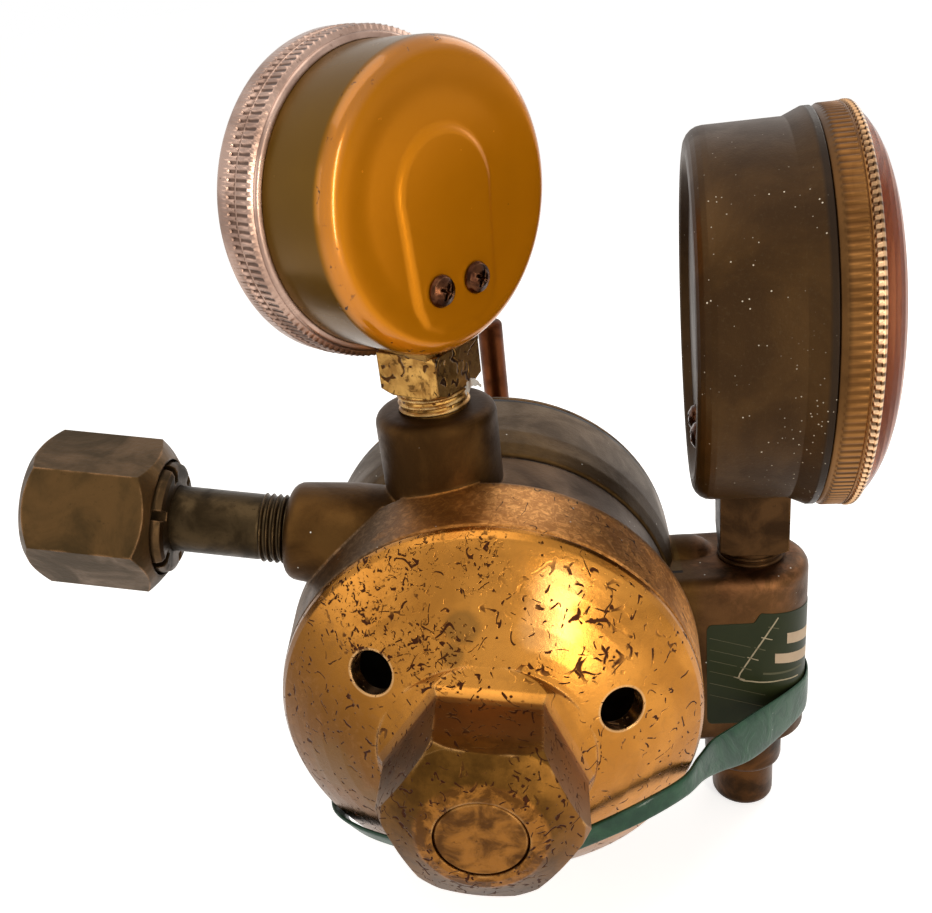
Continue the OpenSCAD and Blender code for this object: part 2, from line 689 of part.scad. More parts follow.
module inlet_nut() {
    from_valve() color("#7b5f3a") on_inlet()
        translate([0, 0, nut_back]) difference() {
            intersection() {
                rotate([0, 0, nut_clock]) cylinder(r = nut_af / 2 / cos(30), h = nut_len, $fn = 6);
                rotate_extrude()
                    polygon([[0, 0], [12.9, 0], [nut_af / 2 + 2.5, 3], [nut_af / 2 + 2.5,
                        nut_len - 3.2], [nut_af / 2 - 1.2, nut_len], [0, nut_len]]);
            }
            // clearance round the nipple, pockets of the collar and the flange, and the thread
            translate([0, 0, -1]) cylinder(r = nipple_r + run, h = nut_len);
            translate([0, 0, -1]) cylinder(r = 12.5, h = 6.3);
            translate([0, 0, 12]) cylinder(r = nut_thread_r + 0.7, h = nut_len - 12 - nut_thread_len);
            translate([0, 0, 13]) cylinder(r = nut_thread_r, h = nut_len);
        }
}

// ---------------------------------------------------------------- outlet and strap

module outlet_fitting() {
    from_valve() color("#6a4a33") translate([outlet_x, lobe_y, 0]) difference() {
        rotate_extrude()
            polygon(concat([[0, lobe_foot + 11.5], [pipe_r - 0.6, lobe_foot + 11.5],
                [pipe_r, lobe_foot + 10.5], [pipe_r, lobe_foot - 0.02],
                [outlet_collar_r, lobe_foot - 0.02]],
                arc([outlet_collar_r - 1.4, outlet_collar_foot + 1.4], 1.4, 0, -90, 4),
                [[outlet_r, outlet_collar_foot]],
                arc([outlet_r - 2, outlet_tip + 2], 2, 0, -90, 5), [[0, outlet_tip]]));
        translate([0, 0, outlet_tip - 1]) cylinder(r = 3.2, h = 60);
        translate([0, 0, outlet_tip - 0.1]) cylinder(r1 = 5, r2 = 3.2, h = 2.2);
    }
}

module green_strap() {
    steps = 3;
    stations = len(strap_route) * steps;
    places = [for (p = strap_route) p[0]];
    sides = [for (p = strap_route) p[1]];
    widths = [for (p = strap_route) p[2]];
    depths = [for (p = strap_route) p[3]];
    // an eight-sided, rounded flat section at each station
    section = [[-0.5, -0.2], [-0.42, -0.5], [0.42, -0.5], [0.5, -0.2], [0.5, 0.2], [0.42, 0.5],
        [-0.42, 0.5], [-0.5, 0.2]];
    points = [for (s = [0:stations - 1], q = section)
        let (i = floor(s / steps), t = (s % steps) / steps,
            at = smooth(places, i, t),
            along = unit(smooth(places, i, t + 0.01) - smooth(places, i, t - 0.01)),
            out = unit(cross(along, cross(smooth(sides, i, t), along))),
            across = cross(along, out))
        at + across * q[0] * smooth(widths, i, t) + out * q[1] * smooth(depths, i, t)];
    from_valve() color("#2f6b52") polyhedron(points, tube_faces(stations, 8, true), convexity = 10);
}

// ---------------------------------------------------------------- gauges
// depth holds the places along a gauge's own axis: back, bezel seam, case rim, bezel front, dial.

function back(depth) = depth[0];
function seam(depth) = depth[1];
function rim(depth) = depth[2];
function front(depth) = depth[3];
function dial(depth) = depth[4];
function recess(depth) = depth[5];
function floor_of(depth) = depth[0] + depth[5] + case_t;
function screw_row(r) = 12.9 - r;

// Pressed relief on the back of the cylinder gauge: an arch over a tapering foot
module back_relief() {
    translate([0, 1.5]) circle(r = 11.5);
    polygon([[-11.45, 1.5], [11.45, 1.5], [10.4, -17], [8.7, -20.6], [4.6, -22.8], [-4.6, -22.8],
        [-8.7, -20.6], [-10.4, -17]]);
}

module gauge_case(r, bezel_r, depth) {
    edge = 3.5;
    flat = recess(depth) == 0;
    difference() {
        union() {
            rotate_extrude()
                polygon(concat(flat ? [[0, back(depth)]]
                    : [[0, back(depth) + recess(depth)], [r - 6, back(depth) + recess(depth)],
                        [r - 4.8, back(depth) + 0.3], [r - 4.3, back(depth)]],
                    arc([r - edge, back(depth) + edge], edge, 270, 360, 5),
                    flat ? [] : [[r, seam(depth) - 4.6], [bezel_r - 0.4, seam(depth) - 1.2],
                        [bezel_r - 0.4, seam(depth) - gap], [r, seam(depth) - gap]],
                    [[r, rim(depth)], [r - case_t, rim(depth)],
                        [r - case_t, floor_of(depth) + edge], [r - edge, floor_of(depth)],
                        [0, floor_of(depth)]]));
            if (flat)
                translate([0, 0, back(depth) - 0.5]) linear_extrude(1) back_relief();
        }
        // square opening for the socket
        translate([-square / 2 - 0.1, -r - 2, -square / 2 - 0.1])
            cube([square + 0.2, 8, square + 0.2]);
        for (x = [-back_screw_x, back_screw_x])
            translate([x, screw_row(r), back(depth) - 1]) cylinder(r = 1.6, h = 6);
    }
}

// Square wrench block with its thread below and its seat for the Bourdon tube inside the case
module gauge_socket(r, depth, foot, thread_len, twist) {
    seat_back = floor_of(depth) + gap;
    difference() {
        union() {
            translate([-square / 2, -r - 0.4, -square / 2]) cube([square, 6, square]);
            rotate([0, twist, 0])
                translate([-square / 2, -foot, -square / 2]) cube([square, foot - r - 0.2, square]);
            translate([-square / 2, -r + 5.4, seat_back])
                cube([square, r - 5.4 - 10.5, 1.5 - seat_back]);
            rotate([90, 0, 0]) translate([0, 0, foot - 1]) cylinder(r = pipe_r, h = thread_len);
        }
        rotate([90, 0, 0]) translate([0, 0, r - 9]) cylinder(r = 1.8, h = 60, $fn = 48);
        // room for the bezel over the block's corners
        translate([0, 0, seam(depth) - 0.2]) cylinder(r = r + 3.1, h = 10);
        // break the square's lower corners as a lathe does
        difference() {
            translate([-square, -foot - 0.01, -square]) cube([2 * square, 3, 2 * square]);
            rotate([90, 0, 0]) translate([0, 0, foot - 3]) cylinder(r = square * 0.707 + 0.05, h = 1.9);
            rotate([90, 0, 0]) translate([0, 0, foot - 1.11])
                cylinder(r1 = square * 0.707, r2 = square * 0.707 - 1.9, h = 1.2);
        }
        for (x = [-back_screw_x, back_screw_x])
            translate([x, screw_row(r), seat_back - 1]) cylinder(r = 1.25, h = 6);
    }
}

// Two pan-head screws that hold the case to the socket
module gauge_screws(r, depth) {
    seat = recess(depth) == 0 ? back(depth) - 0.5 : back(depth) + recess(depth);
    for (x = [-back_screw_x, back_screw_x])
        translate([x, screw_row(r), seat])
            difference() {
                rotate_extrude()
                    polygon([[0, -1.9], [1.4, -1.7], [2.6, -1], [3, -0.3], [3, -0.02],
                        [1.2, -0.02], [1.2, 4.8], [0, 5.4]]);
                for (a = [0, 90])
                    rotate([0, 0, a + 30]) translate([-1.6, -0.32, -2.2]) cube([3.2, 0.64, 1.3]);
            }
}

// Bezel ring: a small flange behind, two bands with a groove between them, and a lip over the lens
module gauge_bezel(r, bezel_r, lip, depth, band, turn, flange) {
    mid = front(depth) - band;
    rotate_extrude()
        polygon(concat([[r + gap, seam(depth)], [bezel_r - flange - 0.4, seam(depth)],
            [bezel_r - flange, seam(depth) + 0.4], [bezel_r - flange, seam(depth) + 0.9],
            [bezel_r - 0.4, seam(depth) + 1.3], [bezel_r - 0.2, mid - 0.4],
            [bezel_r - 0.7, mid - 0.15], [bezel_r - 0.7, mid + 0.15], [bezel_r, mid + 0.4]],
            arc([bezel_r - turn, front(depth) - turn], turn, 0, 90, 5),
            [[r - lip, front(depth)], [r - lip, front(depth) - 1],
                [r - lip + 0.6, rim(depth) + 2 + gap], [r + gap, rim(depth) + 2 + gap]]));
}

// Window with a crowned face. It lies under the bezel's lip, or plugs into it with a head as wide as given
module gauge_lens(r, lip, depth, crown, head, power) {
    foot = rim(depth) + gap;
    face = r - lip - 0.2;
    wide = max(head, face);
    base = front(depth) + (head > face ? gap : -0.3);
    top = front(depth) + crown;
    rotate_extrude()
        polygon(concat([[0, foot]],
            head > face ? [[face, foot], [face, base]]
                : [[r - 0.1, foot], [r - 0.1, foot + 1.9], [face, foot + 2]],
            [[wide, base]],
            [for (k = [1:lens_steps - 1]) let (x = pow(1 - k / lens_steps, 2 / power))
                [wide * x, base + (top - base) * (1 - pow(x, power))]],
            [[0, top]]));
}

module gauge_dial(r, depth) {
    difference() {
        translate([0, 0, dial(depth)]) cylinder(r = r - case_t - 0.2, h = 0.8);
        translate([0, 0, dial(depth) - 1]) cylinder(r = 1.5, h = 3);
    }
}

// One straight-sided tooth, standing on a gear of pitch radius r, at angle a
module gear_tooth(r, a) {
    rotate([0, 0, a])
        polygon([[r - 1.6 * tooth, -0.75 * tooth], [r, -0.52 * tooth], [r + 0.75 * tooth, -0.28 * tooth],
            [r + 0.75 * tooth, 0.28 * tooth], [r, 0.52 * tooth], [r - 1.6 * tooth, 0.75 * tooth]]);
}

module gauge_pointer(r, depth) {
    pitch_r = tooth * pinion_teeth / 2;
    top = dial(depth) + 1.6;
    // arbor with its pinion
    translate([0, 0, 1.6]) cylinder(r = 0.5, h = top - 1.6, $fn = 24);
    translate([0, 0, 3.7]) linear_extrude(1.2) {
        circle(r = pitch_r - 1.5 * tooth, $fn = 24);
        for (k = [0:pinion_teeth - 1])
            gear_tooth(pitch_r, 360 / pinion_teeth * (k + 0.5) - 90);
    }
    // hub and tapering blade, resting at the low end of the scale
    translate([0, 0, top]) cylinder(r = 2.6, h = 0.9);
    translate([0, 0, top])
        rotate([0, 0, 225])
            linear_extrude(0.5)
                polygon([[-0.28 * r, -1.6], [0, -1.1], [0.72 * r, -0.25], [0.72 * r, 0.25],
                    [0, 1.1], [-0.28 * r, 1.6]]);
}

// Two plates on pillars that carry the arbor and the sector
module gauge_movement() {
    difference() {
        union() {
            for (z = [1.55, 6])
                translate([-6.5, -14, z]) cube([13, 19, 0.8]);
            for (p = [[-5, -12.6], [5, -12.6], [5, 3.4], [-5, 3.4]])
                translate([p[0], p[1], 2]) cylinder(r = 0.9, h = 4.4, $fn = 24);
        }
        translate([0, 0, 1]) cylinder(r = 0.56, h = 8, $fn = 24);
        translate([0, -sector_pivot, 1]) cylinder(r = 0.66, h = 8, $fn = 24);
    }
}

// Toothed sector on its own arbor, with the tail that the link pulls
module gauge_sector() {
    pitch_r = tooth * sector_teeth / 2;
    translate([0, -sector_pivot, 1.6]) cylinder(r = 0.6, h = 5.2, $fn = 24);
    translate([0, -sector_pivot, 3.7]) linear_extrude(1.2) {
        circle(r = 1.6, $fn = 24);
        intersection() {
            difference() {
                circle(r = pitch_r - 1.5 * tooth);
                circle(r = pitch_r - 1.9);
            }
            polygon([[0, 0], [20 * cos(52), 20 * sin(52)], [20 * cos(96), 20 * sin(96)]]);
        }
        for (k = [-8:1])
            gear_tooth(pitch_r, 90 + 360 / sector_teeth * k);
        // spokes and tail
        for (a = [56, 92])
            rotate([0, 0, a]) translate([0.8, -0.5]) square([pitch_r - 2, 1]);
        rotate([0, 0, sector_tail]) translate([0.8, -0.6]) square([8.6, 1.2]);
    }
}

function tube_r(r) = r * 0.66;
function tube_start(r) = asin((square / 2 + gap) / (tube_r(r) - 0.9)) - 90;

// C-shaped flattened tube, from the socket round to its free tip
module gauge_bourdon(r) {
    rotate([0, 0, tube_start(r)])
        rotate_extrude(angle = tube_span)
            translate([tube_r(r) - 0.9, -5]) square([1.8, 4.6]);
    rotate([0, 0, tube_start(r) + tube_span])
        translate([tube_r(r) - 1.4, -0.3, -5]) cube([2.8, 2.4, 8.1]);
}

// Link from the tube's tip to the sector's tail
module gauge_link(r) {
    tip_angle = tube_start(r) + tube_span + 3;
    tip = tube_r(r) * [cos(tip_angle), sin(tip_angle)];
    tail = [0, -sector_pivot] + 8.8 * [cos(sector_tail), sin(sector_tail)];
    span = tail - tip;
    translate([tip[0], tip[1], 3.15])
        rotate([0, 0, atan2(span[1], span[0])])
            translate([0, -0.5, 0]) cube([norm(span), 1, 0.5]);
}

module high_socket() {
    from_valve() color("#a8813f") on_high()
        gauge_socket(high_case_r, high_depth, high_z - 61.2, 16.5, high_twist);
}

module high_case() {
    from_valve() color("#b07a1c") on_high() gauge_case(high_case_r, high_bezel_r, high_depth);
}

module high_screws() {
    from_valve() color("#5b3a2a") on_high() gauge_screws(high_case_r, high_depth);
}

module high_bezel() {
    from_valve() color("silver") on_high()
        gauge_bezel(high_case_r, high_bezel_r, 2.4, high_depth, 6.3, 2, 1.5);
}

module high_lens() {
    from_valve() color("#d8dcdc", 0.5) on_high() gauge_lens(high_case_r, 2.4, high_depth, 1.6, 0, 2);
}

module high_dial() {
    from_valve() color("white") on_high() gauge_dial(high_case_r, high_depth);
}

module high_pointer() {
    from_valve() color("black") on_high() gauge_pointer(high_case_r, high_depth);
}

module high_movement() {
    from_valve() color("#c2a04c") on_high() gauge_movement();
}

module high_sector() {
    from_valve() color("#c2a04c") on_high() gauge_sector();
}

module high_bourdon() {
    from_valve() color("#b5803c") on_high() gauge_bourdon(high_case_r);
}

module high_link() {
    from_valve() color("#8d8f92") on_high() gauge_link(high_case_r);
}

module low_socket() {
    from_valve() color("#4a3826") on_low() gauge_socket(low_case_r, low_depth, low_z - 12, 12.4, 0);
}

module low_case() {
    from_valve() color("#3d3024") on_low() gauge_case(low_case_r, low_bezel_r, low_depth);
}

module low_screws() {
    from_valve() color("#3a2a20") on_low() gauge_screws(low_case_r, low_depth);
}

module low_bezel() {
    from_valve() color("#b07a4a") on_low()
        gauge_bezel(low_case_r, low_bezel_r, 1.8, low_depth, 1.9, 0.9, 0.7);
}

module low_lens() {
    from_valve() color("#a05a3c", 0.5) on_low() gauge_lens(low_case_r, 1.8, low_depth, 6.3, low_window_r, 6);
}

module low_dial() {
    from_valve() color("white") on_low() gauge_dial(low_case_r, low_depth);
}

module low_pointer() {
    from_valve() color("black") on_low() gauge_pointer(low_case_r, low_depth);
}

module low_movement() {
    from_valve() color("#c2a04c") on_low() gauge_movement();
}

module low_sector() {
    from_valve() color("#c2a04c") on_low() gauge_sector();
}

module low_bourdon() {
    from_valve() color("#b5803c") on_low() gauge_bourdon(low_case_r);
}

module low_link() {
    from_valve() color("#8d8f92") on_low() gauge_link(low_case_r);
}

body();
preset_bonnet();
preset_screw();
preset_button();
preset_spring();
preset_plate();
preset_slip_ring();
preset_diaphragm();
first_nozzle();
first_valve();
first_valve_spring();
delivery_bonnet();
delivery_spring();
delivery_button();
delivery_plate();
delivery_slip_ring();
delivery_diaphragm();
second_nozzle();
second_valve();
second_valve_spring();
adjusting_screw();
handle_bar();
inlet_nipple();
inlet_filter();
inlet_collar();
inlet_nut();
outlet_fitting();
green_strap();
high_socket();
high_case();
high_screws();
high_bezel();
high_lens();
high_dial();
high_pointer();
high_movement();
high_sector();
high_bourdon();
high_link();
low_socket();
low_case();
low_screws();
low_bezel();
low_lens();
low_dial();
low_pointer();
low_movement();
low_sector();
low_bourdon();
low_link();
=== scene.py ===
"""Looks of a two-stage gas pressure regulator: finishes, knurling, threads, springs, label, strap and dials.

Shapes are given in millimetres and become metres through MM; limits inside the finishes are metres. Places
along the stages are measured from the middle of the first-stage seam, which is worked out from the CAD.
"""
import json
import random
from math import ceil, copysign, cos, hypot, inf, pi, radians, sin, sqrt

import bpy
from mathutils import Matrix, Vector


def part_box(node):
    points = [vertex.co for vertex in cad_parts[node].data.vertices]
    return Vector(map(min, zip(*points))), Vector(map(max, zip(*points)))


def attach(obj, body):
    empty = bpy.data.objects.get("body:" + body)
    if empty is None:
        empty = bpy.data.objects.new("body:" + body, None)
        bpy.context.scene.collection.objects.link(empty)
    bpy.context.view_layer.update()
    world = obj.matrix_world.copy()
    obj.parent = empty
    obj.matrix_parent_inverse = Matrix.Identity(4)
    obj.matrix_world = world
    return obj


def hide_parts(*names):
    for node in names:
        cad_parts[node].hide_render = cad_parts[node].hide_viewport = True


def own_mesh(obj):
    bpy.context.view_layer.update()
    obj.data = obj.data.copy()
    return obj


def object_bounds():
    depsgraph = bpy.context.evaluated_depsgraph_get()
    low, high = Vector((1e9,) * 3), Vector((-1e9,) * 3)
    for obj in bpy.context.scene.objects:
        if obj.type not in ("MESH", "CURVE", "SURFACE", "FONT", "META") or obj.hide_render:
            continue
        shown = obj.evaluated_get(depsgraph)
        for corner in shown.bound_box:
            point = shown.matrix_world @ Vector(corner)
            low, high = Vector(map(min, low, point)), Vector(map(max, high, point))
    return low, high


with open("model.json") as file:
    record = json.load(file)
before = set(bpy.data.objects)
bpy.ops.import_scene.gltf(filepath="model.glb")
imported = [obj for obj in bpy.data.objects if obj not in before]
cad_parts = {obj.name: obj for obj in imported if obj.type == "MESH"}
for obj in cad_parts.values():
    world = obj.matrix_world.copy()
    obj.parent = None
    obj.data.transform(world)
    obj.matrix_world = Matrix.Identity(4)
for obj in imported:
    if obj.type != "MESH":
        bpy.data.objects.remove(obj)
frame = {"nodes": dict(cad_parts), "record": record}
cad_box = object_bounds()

MM = 0.001
ON_AXIS_MM = 0.01
X, Y, Z = (1, 0, 0), (0, 1, 0), (0, 0, 1)
NODES = frame["nodes"]
JOINTS = {j["name"]: j for j in frame["record"]["behaviour"]["joints"]}


# ---- places

BONNET_SKIRT = 8.5 * MM
low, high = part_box("preset_screw")
STAGE = (Vector(low) + Vector(high)) / 2
STAGE.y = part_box("preset_bonnet")[1][1] - BONNET_SKIRT


def at(x, y, z):
    """A point given in millimetres from the middle of the first-stage seam."""
    return STAGE + Vector((x, y, z)) * MM


def basis(origin, up, face):
    """Matrix whose local Z is face and local Y is up."""
    z = Vector(face).normalized()
    x = Vector(up).cross(z).normalized()
    y = z.cross(x)
    m = Matrix((x, y, z)).transposed().to_4x4()
    m.translation = origin
    return m


def gauge_place(joint):
    """A gauge's needle axis: local Z comes out of the dial and local Y is up."""
    j = JOINTS[joint]
    return basis(Vector(j["pos_m"]), Z, -Vector(j["axis"]))


HIGH = gauge_place("cylinder_needle_turn")
LOW = gauge_place("delivery_needle_turn")
HIGH_AXIS, LOW_AXIS = ((place.translation, place.to_3x3() @ Vector(Z)) for place in (HIGH, LOW))
NUT = JOINTS["inlet_nut_spin"]
MOUTH = basis(Vector(NUT["pos_m"]), Y, NUT["axis"])
MOUTH_S_MM = 94.6  # from the stages to the nut's mouth
LOBE_X_MM, LOBE_Y_MM = 58.3, 40.8


# ---- meshes

def link(obj):
    bpy.context.scene.collection.objects.link(obj)
    return obj


def mesh_object(name, points, faces, material, smooth=40, body="regulator"):
    mesh = bpy.data.meshes.new(name)
    mesh.from_pydata([tuple(p) for p in points], [], faces)
    mesh.polygons.foreach_set("use_smooth", [True] * len(mesh.polygons))
    mesh.set_sharp_from_angle(angle=radians(smooth))
    mesh.materials.append(material)
    obj = link(bpy.data.objects.new(name, mesh))
    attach(obj, body)
    return obj


def polar(radius, angle, height=0):
    return Vector((radius * cos(angle), radius * sin(angle), height))


def unit(v):
    return max(0, min(1, v))


def ease(v):
    """A smooth ramp from 0 at 0 to 1 at 1."""
    v = unit(v)
    return v * v * (3 - 2 * v)


def grid_faces(rows, columns, wrap_rows=False, wrap_columns=False):
    faces = []
    for i in range(rows if wrap_rows else rows - 1):
        for j in range(columns if wrap_columns else columns - 1):
            a, b = i * columns, ((i + 1) % rows) * columns
            k = (j + 1) % columns
            faces.append((a + j, b + j, b + k, a + k))
    return faces


def lathe(name, profile_mm, place, material, segments=128, rib=None, smooth=40):
    """Turns (radius, height) pairs about the place's Z. rib(angle, index) adds to the radius."""
    points = []
    for i in range(segments):
        a = 2 * pi * i / segments
        for k, (r, h) in enumerate(profile_mm):
            points.append(place @ (polar(r + (rib(a, k) if rib else 0), a, h) * MM))
    hollow = profile_mm[0][0] > ON_AXIS_MM
    faces = grid_faces(segments, len(profile_mm), wrap_rows=True, wrap_columns=hollow)
    return mesh_object(name, points, faces, material, smooth)


def sweep(name, path, frames, section, material, closed=False, smooth=50, body="regulator"):
    """Sweeps section points (across, out) along path, with a (across, out) pair of vectors at each."""
    points = []
    for p, (across, out), ring in zip(path, frames, section):
        points += [p + across * u + out * v for u, v in ring]
    count = len(section[0])
    faces = grid_faces(len(path), count, wrap_rows=closed, wrap_columns=True)
    if not closed:
        faces += [tuple(range(count))[::-1], tuple((len(path) - 1) * count + k for k in range(count))]
    return mesh_object(name, points, faces, material, smooth, body)


def helix_ridge(name, place, radius_mm, height_mm, pitch_mm, start_mm, length_mm, material, body="regulator",
                sign=1):
    """The crest of a screw thread, outward or, with sign -1, inward; it runs out at both ends."""
    steps, run_out, root, crest_share = 48, 16, -0.1 * MM, 0.08
    count = int(length_mm / pitch_mm * steps)
    half = 0.42 * pitch_mm * MM
    spin = place.to_3x3()
    path, frames, rings = [], [], []
    for i in range(count + 1):
        out = polar(1, 2 * pi * i / steps)
        path.append(place @ ((out * radius_mm + Vector((0, 0, start_mm + pitch_mm * i / steps))) * MM))
        frames.append((spin @ Vector(Z), spin @ out * sign))
        top = height_mm * MM * (min(1, i / run_out, (count - i) / run_out) + 0.02)
        rings.append([(-half, root), (-crest_share * half, top), (crest_share * half, top), (half, root)])
    sweep(name, path, frames, rings, material, smooth=30, body=body)


# ---- materials

class Finish:
    """Builds one material's nodes. Texture places are the row's own metres."""

    def __init__(self, name):
        self.material = bpy.data.materials.new(name)
        self.material.use_nodes = True
        self.tree = self.material.node_tree
        self.shader = self.tree.nodes["Principled BSDF"]
        self.place = self.node("TexCoord").outputs["Object"]
        self.normal = self.colour = None

    def feed(self, socket, value):
        """Links another node's output to the socket, or sets its value; a colour gets its alpha."""
        if isinstance(value, bpy.types.NodeSocket):
            self.tree.links.new(value, socket)
        elif socket.type == "RGBA":
            socket.default_value = (*value, 1)
        else:
            socket.default_value = value

    def node(self, kind, inputs=None, **settings):
        n = self.tree.nodes.new("ShaderNode" + kind)
        for key, value in settings.items():
            setattr(n, key, value)
        for key, value in (inputs or {}).items():
            self.feed(n.inputs[key], value)
        return n

    def math(self, operation, a, b=0.5):
        return self.node("Math", {0: a, 1: b}, operation=operation).outputs[0]

    def vector(self, operation, a, b):
        return self.node("VectorMath", {0: a, 1: b}, operation=operation)

    def fold(self, operation, values):
        """Joins the values with one operation, from the left."""
        total = values[0]
        for value in values[1:]:
            total = self.math(operation, total, value)
        return total

    def times(self, *values):
        return self.fold("MULTIPLY", values)

    def most(self, *values):
        return self.fold("MAXIMUM", values)

    def noise(self, size_mm, detail=4, rough=0.55, twist=0.0, vector=None):
        return self.node("TexNoise", {
            "Vector": vector or self.place, "Scale": 1000 / size_mm, "Detail": detail, "Roughness": rough,
            "Distortion": twist}).outputs["Fac"]

    def step(self, value, low, high):
        """0 below low and 1 above high; low may be the larger."""
        return self.node("MapRange", {"Value": value, "From Min": low, "From Max": high},
                         interpolation_type="SMOOTHSTEP").outputs["Result"]

    def clouds(self, low, high, *noise):
        """A noise with its contrast raised."""
        return self.step(self.noise(*noise), low, high)

    def between(self, factor, a, b):
        """From a to b as the factor goes from 0 to 1."""
        return self.node("MapRange", {"Value": factor, "To Min": a, "To Max": b}).outputs["Result"]

    def mix(self, factor, a, b):
        """Colour a where the factor is 0, colour b where it is 1."""
        return self.node("Mix", {"Factor": factor, "A": a, "B": b}, data_type="RGBA").outputs["Result"]

    def paint(self, tint, *masks):
        """Lays a colour over what is there, as far as all the masks are 1."""
        self.colour = self.mix(self.times(*masks), self.colour, tint)

    def along(self, point, direction):
        """Distance in metres along a direction from a point."""
        away = self.vector("SUBTRACT", self.place, point).outputs[0]
        return self.vector("DOT_PRODUCT", away, Vector(direction).normalized()).outputs["Value"]

    def from_line(self, point, direction):
        """Distance in metres from a line."""
        away = self.vector("SUBTRACT", self.place, point).outputs[0]
        cross = self.vector("CROSS_PRODUCT", away, Vector(direction).normalized()).outputs[0]
        return self.node("VectorMath", {0: cross}, operation="LENGTH").outputs["Value"]

    def bevel(self, radius_mm):
        """The surface's normal, rounded within a radius."""
        return self.node("Bevel", {"Radius": radius_mm * MM}, samples=4).outputs["Normal"]

    def worn_edges(self, radius_mm):
        """1 where the surface turns within the radius, such as along an edge."""
        normal = self.node("NewGeometry").outputs["Normal"]
        return self.step(self.vector("DOT_PRODUCT", self.bevel(radius_mm), normal).outputs["Value"], 0.99, 0.86)

    def strokes(self, size_mm, width, length_mm, shift):
        """Short winding scratches: contour lines of a noise, broken up by a finer one."""
        moved = {"Vector": self.place, "Location": (shift, 2 * shift, -shift)}
        place = self.node("Mapping", moved).outputs[0]
        level = self.noise(size_mm, 1, 0.5, 0.4, place)
        away = self.math("ABSOLUTE", self.math("SUBTRACT", level, 0.5))
        broken = self.step(self.noise(length_mm, 1, 0.5, 0, place), 0.53, 0.57)
        return self.times(self.step(away, width, width * 0.45), broken)

    def near(self, spots):
        """1 near any of the (x, y, z, radius) spots, in millimetres along the stages, with a ragged edge."""
        ragged = self.times(self.math("SUBTRACT", self.noise(6, 4, 0.6), 0.5), 0.7)
        inside = []
        for *spot, radius in spots:
            gap = self.vector("DISTANCE", self.place, at(*spot)).outputs["Value"]
            reach = self.math("ADD", self.math("DIVIDE", gap, radius * MM), ragged)
            inside.append(self.step(reach, 1.0, 0.55))
        return self.most(*inside)

    def grooves(self, place, ribs, bands):
        """1 in the grooves between a bezel's ribs, within the (from, to) depths in metres."""
        u, v, depth = (self.along(place.translation, axis) for axis in place.to_3x3().col)
        turn = self.times(self.math("ARCTAN2", v, u), ribs)
        hollow = self.step(self.math("COSINE", turn), 0.35, -0.75)
        within = (self.times(self.math("GREATER_THAN", depth, low), self.math("LESS_THAN", depth, high))
                  for low, high in bands)
        return self.times(hollow, self.most(*within))

    def specks(self, size_mm, reach, share):
        """Scattered round specks of dust, on the given share of places."""
        cells = self.node("TexVoronoi", {"Vector": self.place, "Scale": 1000 / size_mm}, feature="F1")
        near = self.step(cells.outputs["Distance"], reach, reach * 0.6)
        chance = self.node("SeparateColor", {0: cells.outputs["Color"]}).outputs[0]
        return self.times(near, self.math("LESS_THAN", chance, share))

    def bump(self, height, depth_mm):
        inputs = {"Strength": 1, "Distance": depth_mm * MM, "Height": height}
        if self.normal:
            inputs["Normal"] = self.normal
        self.normal = self.node("Bump", inputs).outputs["Normal"]

    def soften(self, radius_mm):
        """Rounds the shading over edges and casting corners."""
        self.normal = self.bevel(radius_mm)

    def done(self, roughness, metallic=1.0, **sockets):
        sockets |= {"Base_Color": self.colour, "Roughness": roughness, "Metallic": metallic}
        if self.normal:
            sockets["Normal"] = self.normal
        for key, value in sockets.items():
            self.feed(self.shader.inputs[key.replace("_", " ")], value)
        return self.material


def aged(name, dark, light, bright=None, blotch_mm=14, grain_mm=1.2, rough=(0.38, 0.62), pits=0.05, edge_mm=0.6,
         dust=0.0):
    """Handled old metal: cloudy patina, fine grain, bright rubbed edges and a little dust."""
    f = Finish(name)
    f.soften(0.4)
    cloud = f.clouds(0.36, 0.66, blotch_mm, 5, 0.6, 0.6)
    grain = f.noise(grain_mm, 3, 0.6)
    f.colour = f.mix(cloud, dark, light)
    f.paint(dark, f.step(grain, 0.62, 0.78))
    if bright:
        f.paint(bright, f.worn_edges(edge_mm), f.clouds(0.42, 0.6, 5, 4))
    if dust:
        f.paint((0.62, 0.58, 0.5), f.specks(2.6, 0.07, dust))
    f.bump(grain, pits)
    return f.done(f.between(cloud, rough[1], rough[0]))


# spots on the stages: x, y, z and radius in millimetres
RING_POLISH = [(14, 8, 42, 16), (30, 8, 32, 14), (40, 8, 12, 12)]
LOBE_RUST_AND_LIGHT = [(58, 38, 9, 15)]


